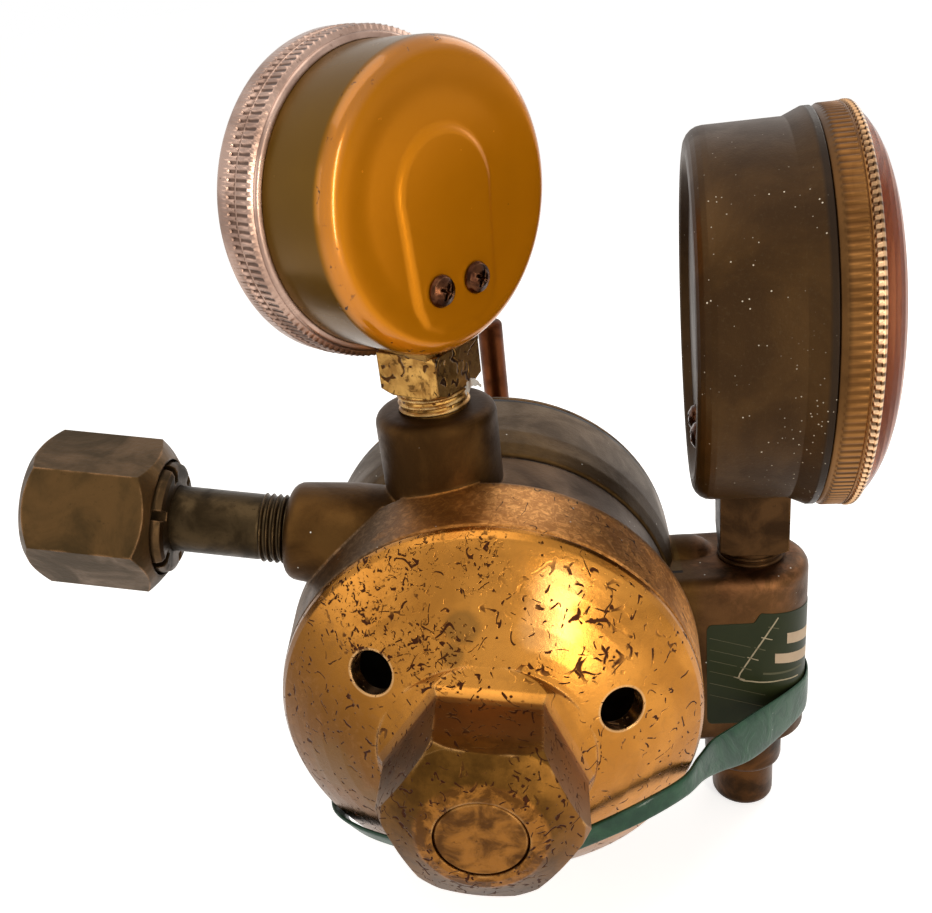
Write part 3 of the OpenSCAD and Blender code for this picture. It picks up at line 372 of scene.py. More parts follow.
def casting():
    """The body: brown cast and machined brass, bronze on the ring, greyer on the drum with a black rear edge."""
    f = Finish("cast_body")
    f.soften(1.3)
    cloud = f.clouds(0.34, 0.66, 16, 5, 0.6, 0.5)
    grain = f.noise(0.9, 4, 0.65)
    brown = f.mix(cloud, (0.042, 0.019, 0.0055), (0.088, 0.041, 0.011))
    x, y = f.along(STAGE, X), f.along(STAGE, Y)
    turned = f.step(f.from_line(STAGE, Y), 0.0437, 0.0434)

    # the drum behind the neck, with painted shade in the groove in front and a dark rear rim
    drum = f.times(f.step(y, 0.0335, 0.0348), turned)
    f.colour = f.mix(drum, brown, f.mix(cloud, (0.05, 0.026, 0.008), (0.092, 0.05, 0.016)))
    # painted shade: near black in the groove between neck and drum
    groove = f.times(f.step(y, 0.0338, 0.0342), f.step(y, 0.0352, 0.0348), turned)
    rear_rim = f.times(f.step(y, 0.06, 0.0606), turned)
    f.paint((0.01, 0.006, 0.004), f.most(groove, rear_rim))

    # the front ring: polished on top, with a grey patina on its left and a painted highlight along its rear edge
    ring = f.times(f.step(y, 0.016, 0.0156), turned)
    polish = f.near(RING_POLISH)
    scratched = f.clouds(0.42, 0.68, 1.6, 5, 0.75, 1.2)
    bronze = f.mix(scratched, (0.27, 0.105, 0.021), (0.48, 0.195, 0.042))
    bright = f.mix(scratched, (0.4, 0.165, 0.04), (0.78, 0.38, 0.11))
    bronze = f.mix(polish, bronze, bright)
    blotches = f.between(f.clouds(0.34, 0.48, 9, 4, 0.6), 0.6, 1)
    patina = f.mix(scratched, (0.058, 0.042, 0.027), (0.125, 0.092, 0.06))
    bronze = f.mix(f.times(f.step(x, -0.006, -0.02), blotches, 0.85), bronze, patina)
    bronze = f.mix(f.times(f.strokes(5, 0.012, 2.4, 0.2), polish), bronze, (0.05, 0.02, 0.008))
    f.paint(bronze, ring)
    # painted highlight: a thin bright line along the ring's rear edge
    f.paint((0.42, 0.24, 0.11), ring, f.step(y, 0.0146, 0.0152), 0.45)

    # rubbed edges, the redder lobe, rust mottles with painted light on the lobe's top, and dust
    f.paint((0.22, 0.11, 0.045), f.worn_edges(0.7), f.clouds(0.46, 0.62, 6, 4), 0.6)
    f.paint(f.mix(cloud, (0.046, 0.021, 0.009), (0.085, 0.038, 0.016)), f.step(x, 0.0435, 0.047), 0.6)
    # rust mottles and painted light: the lobe's top is lightened
    f.paint((0.16, 0.068, 0.026), f.near(LOBE_RUST_AND_LIGHT), f.clouds(0.4, 0.6, 5, 5, 0.7, 0.6))
    f.paint((0.6, 0.56, 0.48), f.specks(3.1, 0.065, 0.4))
    f.bump(grain, 0.06)
    return f.done(f.between(cloud, 0.58, 0.42))


DENSE_PITS = [(-14, -4, 38, 12), (-23, -4, 32, 9), (-8, -13, 23, 9), (-19, -10, 25, 9), (2, -6, 38, 7)]
LONG_SCRATCHES = [(19, -8, 29, 11), (12, -12, 24, 9), (22, -10, 20, 8), (31, -7, 19, 5), (-8, -13, 23, 5),
                  (-2, -12, 28, 7)]
# where a painted highlight streak lies on the dome
PAINTED_HIGHLIGHT_STREAK = [(16, -7, 32, 6), (14, -11, 27, 7)]
STAINS = [(-1.7, -11.7, 27.9, 4), (-4, -14, 23, 3), (-31, -9, -6, 9), (-24, -15, -14, 7)]
RUBBED_CORNER = [(17.5, -34, -3, 6), (15, -35, -8, 5)]
VENT_CLOCK, VENT_RING_MM, DOME_R_MM, DOME_Y_MM = 17, 27.4, 64.4, 46.3


def vents():
    """A point on each vent's axis and the axis's direction."""
    drop = sqrt(DOME_R_MM ** 2 - VENT_RING_MM ** 2)
    for k in range(3):
        a = radians(VENT_CLOCK + 120 * k)
        out = Vector((VENT_RING_MM * cos(a), -drop, VENT_RING_MM * sin(a)))
        yield at(out.x, DOME_Y_MM - drop, out.z), out.normalized()


def golden_dome():
    """The first-stage bonnet: golden brass, dented, pitted and scratched, browner on its hexagon."""
    f = Finish("golden_dome")
    f.soften(0.5)
    x, y, z = f.along(STAGE, X), f.along(STAGE, Y), f.along(STAGE, Z)

    cloud = f.clouds(0.33, 0.68, 15, 4, 0.55, 0.4)
    f.colour = f.mix(cloud, (0.36, 0.142, 0.022), (0.52, 0.215, 0.036))
    # painted shade: darker brown over the dome's lower left
    shade = f.step(f.along(STAGE, (0.8, 0, 0.6)), 0.014, -0.024)
    f.paint((0.105, 0.041, 0.006), shade, 0.92)
    # painted highlight: a paler gold streak on the dome's upper right
    f.paint((0.6, 0.3, 0.1), f.near(PAINTED_HIGHLIGHT_STREAK), 0.55)
    f.paint((0.2, 0.085, 0.022), f.clouds(0.5, 0.64, 1.7, 5, 0.7, 0.6), f.between(shade, 0.15, 0.45))
    f.paint((0.13, 0.066, 0.018), f.near(STAINS), 0.55)

    # the hexagon: brown, with painted light on its right facets, duller on top, blotched on its end
    hexagon = f.step(y, -0.0172, -0.0208)
    brown = f.mix(f.clouds(0.38, 0.66, 7, 5, 0.65), (0.06, 0.026, 0.005), (0.118, 0.051, 0.009))
    # painted light: the hexagon's right facets lighter
    f.paint(f.mix(f.times(f.step(x, 0.01, 0.021), 0.75), brown, (0.27, 0.11, 0.022)), hexagon)
    f.paint((0.125, 0.057, 0.017), f.step(z, 0.01, 0.014), f.step(y, -0.03, -0.027), hexagon, 0.75)
    end_face = f.mix(f.clouds(0.4, 0.6, 4, 5, 0.7, 0.5), (0.085, 0.033, 0.007), (0.245, 0.098, 0.018))
    f.paint(end_face, f.step(y, -0.0353, -0.0358))

    # pits, long scratches, short ones, specks, and rough strokes on the hexagon
    marks = f.most(
        f.times(f.most(f.strokes(3.0, 0.045, 1.3, 0.4), f.clouds(0.6, 0.64, 1.0, 3, 0.7, 0.8)),
                f.near(DENSE_PITS)),
        f.times(f.most(f.strokes(9.5, 0.016, 2.6, 0.1), f.strokes(8, 0.017, 2.2, 0.7),
                       f.strokes(10, 0.014, 3.0, 1.9)), f.near(LONG_SCRATCHES)),
        f.times(f.most(f.strokes(8.5, 0.011, 1.7, 1.3), f.strokes(7, 0.012, 1.4, 2.3)),
                f.clouds(0.4, 0.5, 12, 2)),
        f.times(f.specks(1.9, 0.17, 0.3), f.clouds(0.36, 0.48, 15, 2)),
        f.times(f.strokes(3.4, 0.034, 1.8, 0.9), hexagon, f.clouds(0.4, 0.5, 8, 2)))
    rims = f.most(*(f.times(f.step(gap, 0.005, 0.0047), f.step(gap, 0.0041, 0.0044))
                    for gap in (f.from_line(*vent) for vent in vents())))
    f.paint((0.55, 0.33, 0.15), rims, 0.6)
    f.paint((0.045, 0.014, 0.006), marks)
    f.paint((0.62, 0.34, 0.12), f.worn_edges(0.9), f.clouds(0.44, 0.6, 5, 4),
            f.between(f.near(RUBBED_CORNER), 0.5, 1.0))

    f.bump(f.math("SUBTRACT", 1, marks), 0.14)
    f.bump(f.noise(9, 3, 0.5), 0.12)
    f.bump(f.noise(0.6, 3, 0.6), 0.02)
    rough = f.math("ADD", f.between(f.noise(4, 5, 0.6), 0.2, 0.32), f.times(marks, 0.3))
    return f.done(f.math("ADD", rough, f.times(hexagon, 0.12)))


def stamped_brass():
    """The cylinder gauge's square: bright brass with dark stamped strokes, dents, grime blotches and painted shade
    along its edges and in its corners.
    """
    f = Finish("stamped_brass")
    f.soften(0.3)
    cloud = f.clouds(0.36, 0.64, 4, 5, 0.6, 0.6)
    f.colour = f.mix(cloud, (0.3, 0.145, 0.034), (0.58, 0.32, 0.085))
    grime = f.times(f.clouds(0.52, 0.62, 2.6, 5, 0.7, 0.8), 0.8)
    marks = f.strokes(3.6, 0.07, 2.4, 0.55)
    # grime blotches, stamped strokes and painted shade along edges and in corners
    f.paint((0.075, 0.03, 0.008), f.most(grime, marks, f.times(f.worn_edges(0.55), 0.8)))
    f.bump(f.math("SUBTRACT", 1, marks), 0.12)
    f.bump(f.noise(0.9, 4, 0.65), 0.06)
    return f.done(f.between(cloud, 0.42, 0.28))


def ochre_enamel():
    """The cylinder gauge's case: glossy ochre lacquer, chipped round the back edge, olive gold on its side, with
    painted light on its lower half and painted shade on its top.
    """
    f = Finish("ochre_enamel")
    depth, r = f.along(*HIGH_AXIS), f.from_line(*HIGH_AXIS)
    cloud = f.noise(9, 4, 0.5)
    # painted light on the lower half and painted shade on the top half
    lit_low_half = f.mix(cloud, (0.54, 0.18, 0.002), (0.59, 0.2, 0.003))
    shaded_top_half = f.mix(cloud, (0.385, 0.13, 0.0018), (0.425, 0.147, 0.0026))
    ochre = f.mix(f.step(f.along(HIGH.translation, Z), 0.006, 0.024), lit_low_half, shaded_top_half)
    olive = f.mix(f.noise(20, 3, 0.5), (0.11, 0.051, 0.003), (0.17, 0.083, 0.006))
    f.colour = f.mix(f.step(depth, -0.0092, -0.0066), ochre, olive)
    edge = f.times(f.step(r, 0.0252, 0.0266), f.step(depth, -0.006, -0.0078))
    chips = f.times(edge, f.clouds(0.63, 0.66, 2.4, 5, 0.7, 0.8))
    f.paint((0.05, 0.018, 0.006), f.most(chips, f.specks(5.2, 0.04, 0.2)))
    f.bump(f.noise(0.8, 2), 0.01)
    f.bump(f.math("SUBTRACT", 1, chips), 0.08)
    polish = f.times(f.step(r, 0.0246, 0.026), f.step(depth, -0.0074, -0.0086), 0.6)
    return f.done(f.between(f.noise(3, 3), 0.2, 0.3), 0.4, Specular_IOR_Level=0.1, Coat_Weight=polish,
                  Coat_Roughness=0.07)


def dusty_case():
    """The delivery gauge's case: dark brown satin paint with pale dust, and painted shade next to the bezel and in
    the back's recess.
    """
    f = Finish("dusty_case")
    f.soften(0.3)
    depth, r = f.along(*LOW_AXIS), f.from_line(*LOW_AXIS)
    cloud = f.clouds(0.35, 0.65, 20, 5, 0.6, 0.5)
    f.colour = f.mix(cloud, (0.034, 0.0145, 0.0025), (0.061, 0.028, 0.006))
    f.paint((0.1, 0.068, 0.031), f.clouds(0.52, 0.8, 0.7, 3, 0.7), 0.22)
    # painted shade: near black next to the bezel and in the back's recess
    back = f.times(f.step(depth, -0.012, -0.0124), f.step(r, 0.0315, 0.031))
    f.paint((0.012, 0.007, 0.004), f.most(f.step(depth, 0.0078, 0.0086), back), 0.75)
    dusty = f.clouds(0.4, 0.6, 17, 3, 0.6)
    fine = f.times(f.specks(1.25, 0.13, 0.42), dusty)
    under = f.times(f.step(f.along(LOW.translation, Z), 0.012, -0.01), f.step(depth, -0.004, 0.006))
    crowded = f.times(f.specks(0.85, 0.17, 0.3), under)
    f.paint((0.6, 0.52, 0.4), f.most(fine, crowded, f.specks(4.0, 0.05, 0.4)))
    f.bump(f.noise(0.5, 3, 0.6), 0.03)
    return f.done(f.between(cloud, 0.5, 0.38), 0.45, Specular_IOR_Level=0.15)


HIGH_RIBS, LOW_RIBS = 130, 154


def nickel_ring():
    """The cylinder gauge's bezel: pinkish nickel over brass, with painted shade in the grooves between its ribs and
    in the groove between its bands.
    """
    f = Finish("nickel_ring")
    f.soften(0.25)
    cloud = f.clouds(0.36, 0.66, 12, 5, 0.6, 0.6)
    f.colour = f.mix(cloud, (0.27, 0.172, 0.132), (0.46, 0.31, 0.245))
    f.paint((0.22, 0.135, 0.1), f.clouds(0.62, 0.78, 1.2, 3, 0.6))
    # painted shade in the grooves between the ribs
    groove = f.grooves(HIGH, HIGH_RIBS, ((0.0084, 0.0113), (0.0121, 0.0139)))
    f.paint((0.075, 0.042, 0.03), groove, 0.85)
    # painted shade in the groove between the two ribbed bands
    depth = f.along(*HIGH_AXIS)
    f.paint((0.06, 0.033, 0.024), f.step(depth, 0.0116, 0.0118), f.step(depth, 0.0122, 0.012), 0.8)
    f.bump(f.noise(1.2, 3, 0.6), 0.03)
    return f.done(f.between(cloud, 0.38, 0.24))


def brown_ring():
    """The delivery gauge's bezel: dull brown, rubbed bright on the teeth of its front band, with a painted highlight
    on the teeth strongest at mid height, painted light on its lower part and painted shade in its rib grooves.
    """
    f = Finish("brown_ring")
    depth = f.along(*LOW_AXIS)
    height = f.along(LOW.translation, Z)
    cloud = f.clouds(0.36, 0.66, 12, 5, 0.6, 0.6)
    f.colour = f.mix(cloud, (0.13, 0.055, 0.015), (0.215, 0.095, 0.027))
    f.paint((0.045, 0.024, 0.01), f.step(depth, 0.0118, 0.0108), 0.6)
    teeth = f.step(depth, 0.015, 0.0154)
    below = f.step(height, -0.004, -0.026)
    middle = f.between(f.step(f.math("ABSOLUTE", f.math("ADD", height, 0.004)), 0.032, 0.018), 0.35, 1)
    # painted light: lighter over the bezel's lower part
    f.paint((0.42, 0.21, 0.075), below, 0.55)
    # rubbed bright teeth with a painted highlight, strongest at mid height
    f.paint((0.84, 0.54, 0.31), teeth, 0.9, middle)
    # painted shade in the rib grooves, strongest where the bezel is painted lighter
    groove = f.grooves(LOW, LOW_RIBS, ((0.0109, 0.0143), (0.0153, 0.0168)))
    f.paint((0.04, 0.016, 0.006), groove, f.between(f.most(below, teeth), 0.45, 0.85))
    f.bump(f.noise(1.2, 3), 0.03)
    return f.done(f.between(teeth, 0.42, 0.3))


def strap_vinyl():
    f = Finish("strap_vinyl")
    crease = f.noise(7, 4, 0.6, 0.8)
    f.colour = f.mix(f.step(crease, 0.35, 0.7), (0.008, 0.04, 0.02), (0.021, 0.076, 0.037))
    f.paint((0.3, 0.36, 0.3), f.specks(3, 0.07, 0.3), 0.6)
    f.bump(crease, 0.5)
    f.bump(f.noise(0.9, 2), 0.03)
    return f.done(f.between(crease, 0.5, 0.36), 0.0, Coat_Weight=0.24, Coat_Roughness=0.12,
                  Specular_IOR_Level=0.15)


def plastic_window(name, tint, roughness, transmission, index):
    f = Finish(name)
    haze = f.noise(4, 5, 0.6)
    f.colour = f.mix(haze, tint, tuple(min(1, 1.25 * c) for c in tint))
    f.bump(f.noise(14, 3), 0.02)
    return f.done(f.between(haze, roughness, roughness + 0.08), 0.0,
                  Transmission_Weight=transmission, IOR=index)


def printed(name, colour, shade, roughness=0.45, shine=0.5):
    """Ink, enamel, rubber or tape: two close colours and a faint grain."""
    f = Finish(name)
    f.bump(f.noise(0.5, 2), 0.01)
    f.colour = f.mix(f.noise(6, 4, 0.6), colour, shade)
    return f.done(roughness, 0.0, Specular_IOR_Level=shine)


M = {
    "cast_body": casting(),
    "golden_dome": golden_dome(),
    "plug": aged("plug_brass", (0.075, 0.029, 0.006), (0.245, 0.098, 0.018), (0.4, 0.2, 0.06), 5, 1.6,
                 (0.36, 0.5), 0.1),
    "rear_bonnet": aged("rear_bonnet", (0.045, 0.024, 0.01), (0.15, 0.075, 0.025), (0.3, 0.16, 0.06), 18, 1.1,
                        dust=0.15),
    "nipple": aged("dark_nipple", (0.022, 0.014, 0.0065), (0.05, 0.032, 0.015), (0.12, 0.07, 0.03), 8, 0.8,
                   (0.36, 0.55), 0.04),
    "nut": aged("brown_nut", (0.05, 0.03, 0.012), (0.106, 0.056, 0.02), (0.28, 0.15, 0.07), 13, 1.0,
                (0.38, 0.58), 0.06, 0.7),
    "collar": aged("collar", (0.03, 0.019, 0.009), (0.075, 0.042, 0.018), (0.17, 0.09, 0.04), 7, 0.9),
    "outlet": aged("outlet", (0.024, 0.011, 0.0035), (0.085, 0.034, 0.01), (0.2, 0.09, 0.04), 9, 0.9,
                   (0.34, 0.5), 0.04),
    "handle": aged("brown_steel", (0.055, 0.015, 0.005), (0.115, 0.034, 0.011), (0.22, 0.09, 0.04), 10, 0.9,
                   (0.36, 0.52), 0.04),
    "bright_brass": aged("bright_brass", (0.24, 0.115, 0.03), (0.47, 0.25, 0.07), (0.8, 0.55, 0.24), 5, 0.9,
                         (0.26, 0.42), 0.08, 0.8),
    "dark_stem": aged("dark_stem", (0.028, 0.014, 0.006), (0.06, 0.029, 0.011), (0.15, 0.075, 0.03), 8, 0.9,
                      (0.4, 0.55), 0.05),
    "stamped_brass": stamped_brass(),
    "new_brass": aged("clean_brass", (0.58, 0.4, 0.16), (0.74, 0.54, 0.24), None, 20, 1.5, (0.28, 0.36), 0.01),
    "steel": aged("clean_steel", (0.36, 0.36, 0.36), (0.5, 0.5, 0.5), None, 20, 1.5, (0.3, 0.4), 0.01),
    "spring": aged("spring_steel", (0.1, 0.1, 0.105), (0.2, 0.2, 0.205), None, 9, 1.0, (0.3, 0.42), 0.02),
    "rubber": printed("diaphragm_rubber", (0.02, 0.02, 0.02), (0.04, 0.04, 0.04), 0.7),
    "screws": aged("brown_screws", (0.03, 0.011, 0.006), (0.085, 0.032, 0.014), (0.22, 0.1, 0.05), 3, 0.7,
                   (0.16, 0.32), 0.06),
    "ochre": ochre_enamel(),
    "nickel": nickel_ring(),
    "case": dusty_case(),
    "brown_ring": brown_ring(),
    "clear": plastic_window("clear_window", (0.86, 0.86, 0.84), 0.06, 0.95, 1.49),
    "amber": plastic_window("amber_window", (0.33, 0.112, 0.048), 0.1, 0.85, 1.06),
    "dial": printed("dial_face", (0.78, 0.76, 0.7), (0.7, 0.67, 0.6)),
    "ink": printed("dial_ink", (0.012, 0.012, 0.012), (0.03, 0.03, 0.03)),
    "strap": strap_vinyl(),
    "label": printed("label_green", (0.016, 0.022, 0.008), (0.028, 0.033, 0.012), 0.4, 0.1),
    "label_ink": printed("label_ink", (0.52, 0.44, 0.3), (0.27, 0.23, 0.15), 0.5, 0.1),
    "label_faint": printed("label_faint", (0.14, 0.13, 0.075), (0.055, 0.058, 0.032), 0.5, 0.1),
    "label_box": printed("label_box", (0.64, 0.49, 0.35), (0.42, 0.31, 0.21), 0.5, 0.1),
    "tape": printed("thread_tape", (0.45, 0.44, 0.42), (0.7, 0.69, 0.66), 0.6),
}

FINISHED_NODES = {
    "cast_body": "body", "golden_dome": "preset_bonnet", "plug": "preset_screw", "rear_bonnet": "delivery_bonnet",
    "nipple": "inlet_nipple", "nut": "inlet_nut", "collar": "inlet_collar", "outlet": "outlet_fitting",
    "handle": "adjusting_screw handle_bar", "dark_stem": "low_socket", "stamped_brass": "high_socket",
    "new_brass": "preset_button preset_plate first_nozzle delivery_button delivery_plate second_nozzle inlet_filter "
                 "high_movement high_sector high_bourdon low_movement low_sector low_bourdon",
    "steel": "preset_slip_ring preset_diaphragm first_valve delivery_slip_ring second_valve high_link low_link",
    "spring": "preset_spring delivery_spring first_valve_spring second_valve_spring",
    "rubber": "delivery_diaphragm", "screws": "high_screws low_screws", "ochre": "high_case", "case": "low_case",
    "nickel": "high_bezel", "brown_ring": "low_bezel", "clear": "high_lens", "amber": "low_lens",
    "dial": "high_dial low_dial", "ink": "high_pointer low_pointer", "strap": "green_strap",
}
for finish, nodes in FINISHED_NODES.items():
    for node in nodes.split():
        for holder in NODES[node].material_slots:
            holder.material = M[finish]


# ---- knurled bezels

def ribbed_bezel(name, node, place, sizes, ribs, depths, material):
    """The bezel ring with its ribs: a flange behind, a ribbed band, a groove, then coarser teeth in front.

    The outline is (radius, height, depth of the ribs there), in millimetres.
    """
    case_r, bezel_r, lip, seam, rim, front, band, turn, flange = sizes
    fine, coarse = depths
    mid = front - band
    teeth_end = min(front - turn, mid + 2.0)
    outline = [(case_r + 0.05, seam, 0)] + [(bezel_r + out, h, w) for out, h, w in (
        (-flange - 0.4, seam, 0), (-flange, seam + 0.35, 0), (-flange, seam + 0.85, 0), (-0.5, seam + 1.25, 0),
        (-0.2, seam + 1.6, fine), (-0.2, mid - 0.75, fine), (-0.3, mid - 0.6, 0), (-0.15, mid - 0.45, 0),
        (-0.3, mid - 0.25, 0), (-0.75, mid - 0.1, 0), (-0.75, mid + 0.1, 0), (-0.15, mid + 0.3, coarse),
        (0, mid + 0.45, coarse), (0, teeth_end, coarse), (-0.1, teeth_end + 0.15, 0))]
    for k in range(6):
        a = radians(18 * k)
        outline.append((bezel_r - turn + turn * cos(a) - 0.05,
                        front - turn + 0.2 + (turn - 0.25) * sin(a), 0))
    outline += [
        (case_r - lip + 0.3, front, 0), (case_r - lip, front - 0.3, 0), (case_r - lip, front - 1, 0),
        (case_r - lip + 0.6, rim + 2.05, 0), (case_r + 0.05, rim + 2.05, 0),
    ]

    def rib(a, k):
        return -outline[k][2] * (0.5 - 0.5 * cos(ribs * a)) ** 0.7

    ring = lathe(name, [(r, h) for r, h, _ in outline], place, material, segments=ribs * 8, rib=rib,
                 smooth=50)
    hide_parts(node)


# millimetres: case radius, bezel radius, lip, seam, case rim, front, front band, front rounding, flange step
HIGH_SIZES = (27.7, 30.5, 2.4, 7, 13, 18.2, 6.3, 2, 1.5)
LOW_SIZES = (37.1, 39, 1.8, 9.5, 12.8, 16.9, 1.9, 0.9, 0.7)
ribbed_bezel("cylinder_gauge_ribbed_ring", "high_bezel", HIGH, HIGH_SIZES, HIGH_RIBS, (0.34, 0.55), M["nickel"])
ribbed_bezel("delivery_gauge_ribbed_ring", "low_bezel", LOW, LOW_SIZES, LOW_RIBS, (0.25, 0.5), M["brown_ring"])


# ---- cylinder gauge case

ARCH_R, ARCH_Y = 11.5, 1.5
ARCH_FOOT = [(-11.45, 1.5), (-10.4, -17), (-8.7, -20.6), (-4.6, -22.8), (4.6, -22.8), (8.7, -20.6), (10.4, -17),
             (11.45, 1.5)]


def into_arch(x, y):
    """How far a point lies inside the pressed arch's outline, in millimetres; negative outside."""
    if y >= ARCH_Y:
        return ARCH_R - hypot(x, y - ARCH_Y)
    gap, within = inf, False
    last = len(ARCH_FOOT) - 1
    for k, ((ax, ay), (bx, by)) in enumerate(zip(ARCH_FOOT, ARCH_FOOT[1:] + ARCH_FOOT[:1])):
        if (ay > y) != (by > y) and x < (bx - ax) * (y - ay) / (by - ay) + ax:
            within = not within
        if k < last:
            t = unit(((x - ax) * (bx - ax) + (y - ay) * (by - ay)) / ((bx - ax) ** 2 + (by - ay) ** 2))
            gap = min(gap, hypot(x - ax - t * (bx - ax), y - ay - t * (by - ay)))
    return gap if within else -gap


def pressed_case():
    """The case with its back pressed: a soft dish round a raised arch over a tapering foot."""
    r, edge, back, rim, wall = 27.7, 3.5, -10.4, 12.95, 1.0
    dish_r, dish_ramp, dish_depth, arch_height = 24.2, 6.5, 0.42, 0.16
    floor = back + wall + 0.6
    rings = [ON_AXIS_MM] + [24.4 * (k / 58) for k in range(1, 59)]
    rounding = [radians(10 * k) for k in range(1, 10)]
    inner = [(r, rim - 4), (r, rim), (r - wall, rim), (r - wall, back + wall + edge), (r - edge, floor),
             (ON_AXIS_MM, floor)]
    segments, points = 192, []
    for i in range(segments):
        a = 2 * pi * i / segments
        for q in rings:
            d = into_arch(q * cos(a), q * sin(a))
            dish = dish_depth * ease((dish_r - q) / dish_ramp) * ease(1 - max(0, d + 0.2) / 1.4)
            points.append(HIGH @ (polar(q, a, back + dish - arch_height * ease((d + 0.45) / 0.9)) * MM))
        for t in rounding:
            points.append(HIGH @ (polar(r - edge + edge * sin(t), a, back + edge - edge * cos(t)) * MM))
        points += [HIGH @ (polar(q, a, h) * MM) for q, h in inner]
    columns = len(rings) + len(rounding) + len(inner)
    case = mesh_object("cylinder_gauge_pressed_case", points, grid_faces(segments, columns, wrap_rows=True),
                       M["ochre"], 50)
    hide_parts("high_case")


pressed_case()


# ---- threads

def upright(x, y, z):
    m = Matrix.Identity(4)
    m.translation = at(x, y, z)
    return m


PIPE_R, PIPE_PITCH, PIPE_CREST = 6.85, 1.411, 0.42
NUT_THREAD_R, NUT_PITCH, CREST = 10.6, 1.814, 0.5
BOSS = (-6.3, 25, 56.8)
LOBE = (LOBE_X_MM, LOBE_Y_MM, 8.6)
helix_ridge("cylinder_gauge_thread", upright(*BOSS), PIPE_R, PIPE_CREST, PIPE_PITCH, -0.4, 4.9, M["bright_brass"])
helix_ridge("delivery_gauge_thread", upright(*LOBE), PIPE_R, PIPE_CREST, PIPE_PITCH, -0.4, 3.9, M["dark_stem"])
helix_ridge("inlet_thread_crest", MOUTH, PIPE_R, CREST, PIPE_PITCH, 40.4 - MOUTH_S_MM, 6.4, M["nipple"])
helix_ridge("union_nut_thread", MOUTH, NUT_THREAD_R, CREST, NUT_PITCH, -7.2, 6.4, M["nut"], "union_nut", -1)


# ---- springs

def node_span(node):
    """A node's two ends along the stages, in millimetres from the first-stage seam."""
    low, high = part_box(node)
    return (low[1] - STAGE.y) / MM, (high[1] - STAGE.y) / MM


def coil(name, node, mean_r, wire, span, turns):
    """A round-wire coil on the stage axis, with closer end turns, in the place of its CAD spring."""
    steps, sides, dead = 32, 12, 0.75
    end_pitch = wire + 0.5
    live = turns - 2 * dead
    pitch = (span[1] - span[0] - wire - 2 * dead * end_pitch) / live
    circle = [2 * pi * k / sides for k in range(sides)]
    ring = [(wire / 2 * MM * sin(b), wire / 2 * MM * cos(b)) for b in circle]
    path, frames = [], []
    for i in range(int(turns * steps) + 1):
        t = i / steps
        climb = end_pitch * (min(t, dead) + max(0, t - (turns - dead)))
        climb += pitch * max(0, min(t, turns - dead) - dead)
        out = Vector((cos(2 * pi * t), 0, sin(2 * pi * t)))
        path.append(STAGE + (out * mean_r + Vector((0, span[0] + wire / 2 + climb, 0))) * MM)
        frames.append((Vector(Y), out))
    spring = sweep(name, path, frames, [ring] * len(path), M["spring"], smooth=60)
    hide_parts(node)
    return spring


def compress(spring):
    """Gives a coil its own copy of its mesh."""
    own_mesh(spring)


BODY_END = 61.9
PLATE_TRAVEL, SCREW_TRAVEL = 0.7, 7
for name, node, mean_r, wire, span, turns, joint, travel in (
        ("preset_coil", "preset_spring", 10.9, 3.2, (-23.4, 6.4), 5.5, "first_plate_slide", PLATE_TRAVEL),
        ("delivery_coil", "delivery_spring", 14.6, 4, (BODY_END - 6.4, BODY_END + 28), 5.5, "spring_button_slide",
         SCREW_TRAVEL),
        ("second_valve_coil", "second_valve_spring", 3.1, 0.8, node_span("second_valve_spring"), 3.5,
         "delivery_plate_slide", PLATE_TRAVEL)):
    compress(coil(name, node, mean_r, wire, span, turns))


def diaphragm(name, node, material):
    """A thin disc in the place of its CAD part, with its own copy of its mesh."""
    film, past, on_axis = 0.05, 0.2, ON_AXIS_MM / 2
    low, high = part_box(node)
    radius = (high[0] - low[0]) / 2 / MM
    y0, y1 = node_span(node)
    disc = lathe(name, [(on_axis, y0), (radius, y0), (radius, y1), (on_axis, y1)], basis(STAGE, Z, Y),
                 M[material])
    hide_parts(node)
    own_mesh(disc)


diaphragm("preset_diaphragm_disc", "preset_diaphragm", "steel")
diaphragm("delivery_diaphragm_disc", "delivery_diaphragm", "rubber")


# ---- strap

def round_lobe(degrees, width):
    wrap_r, height = 12.8, -26.4
    c, s = cos(radians(degrees)), sin(radians(degrees))
    return LOBE_X_MM + wrap_r * c, LOBE_Y_MM + wrap_r * s, height, c, s, 0, width, 0.8


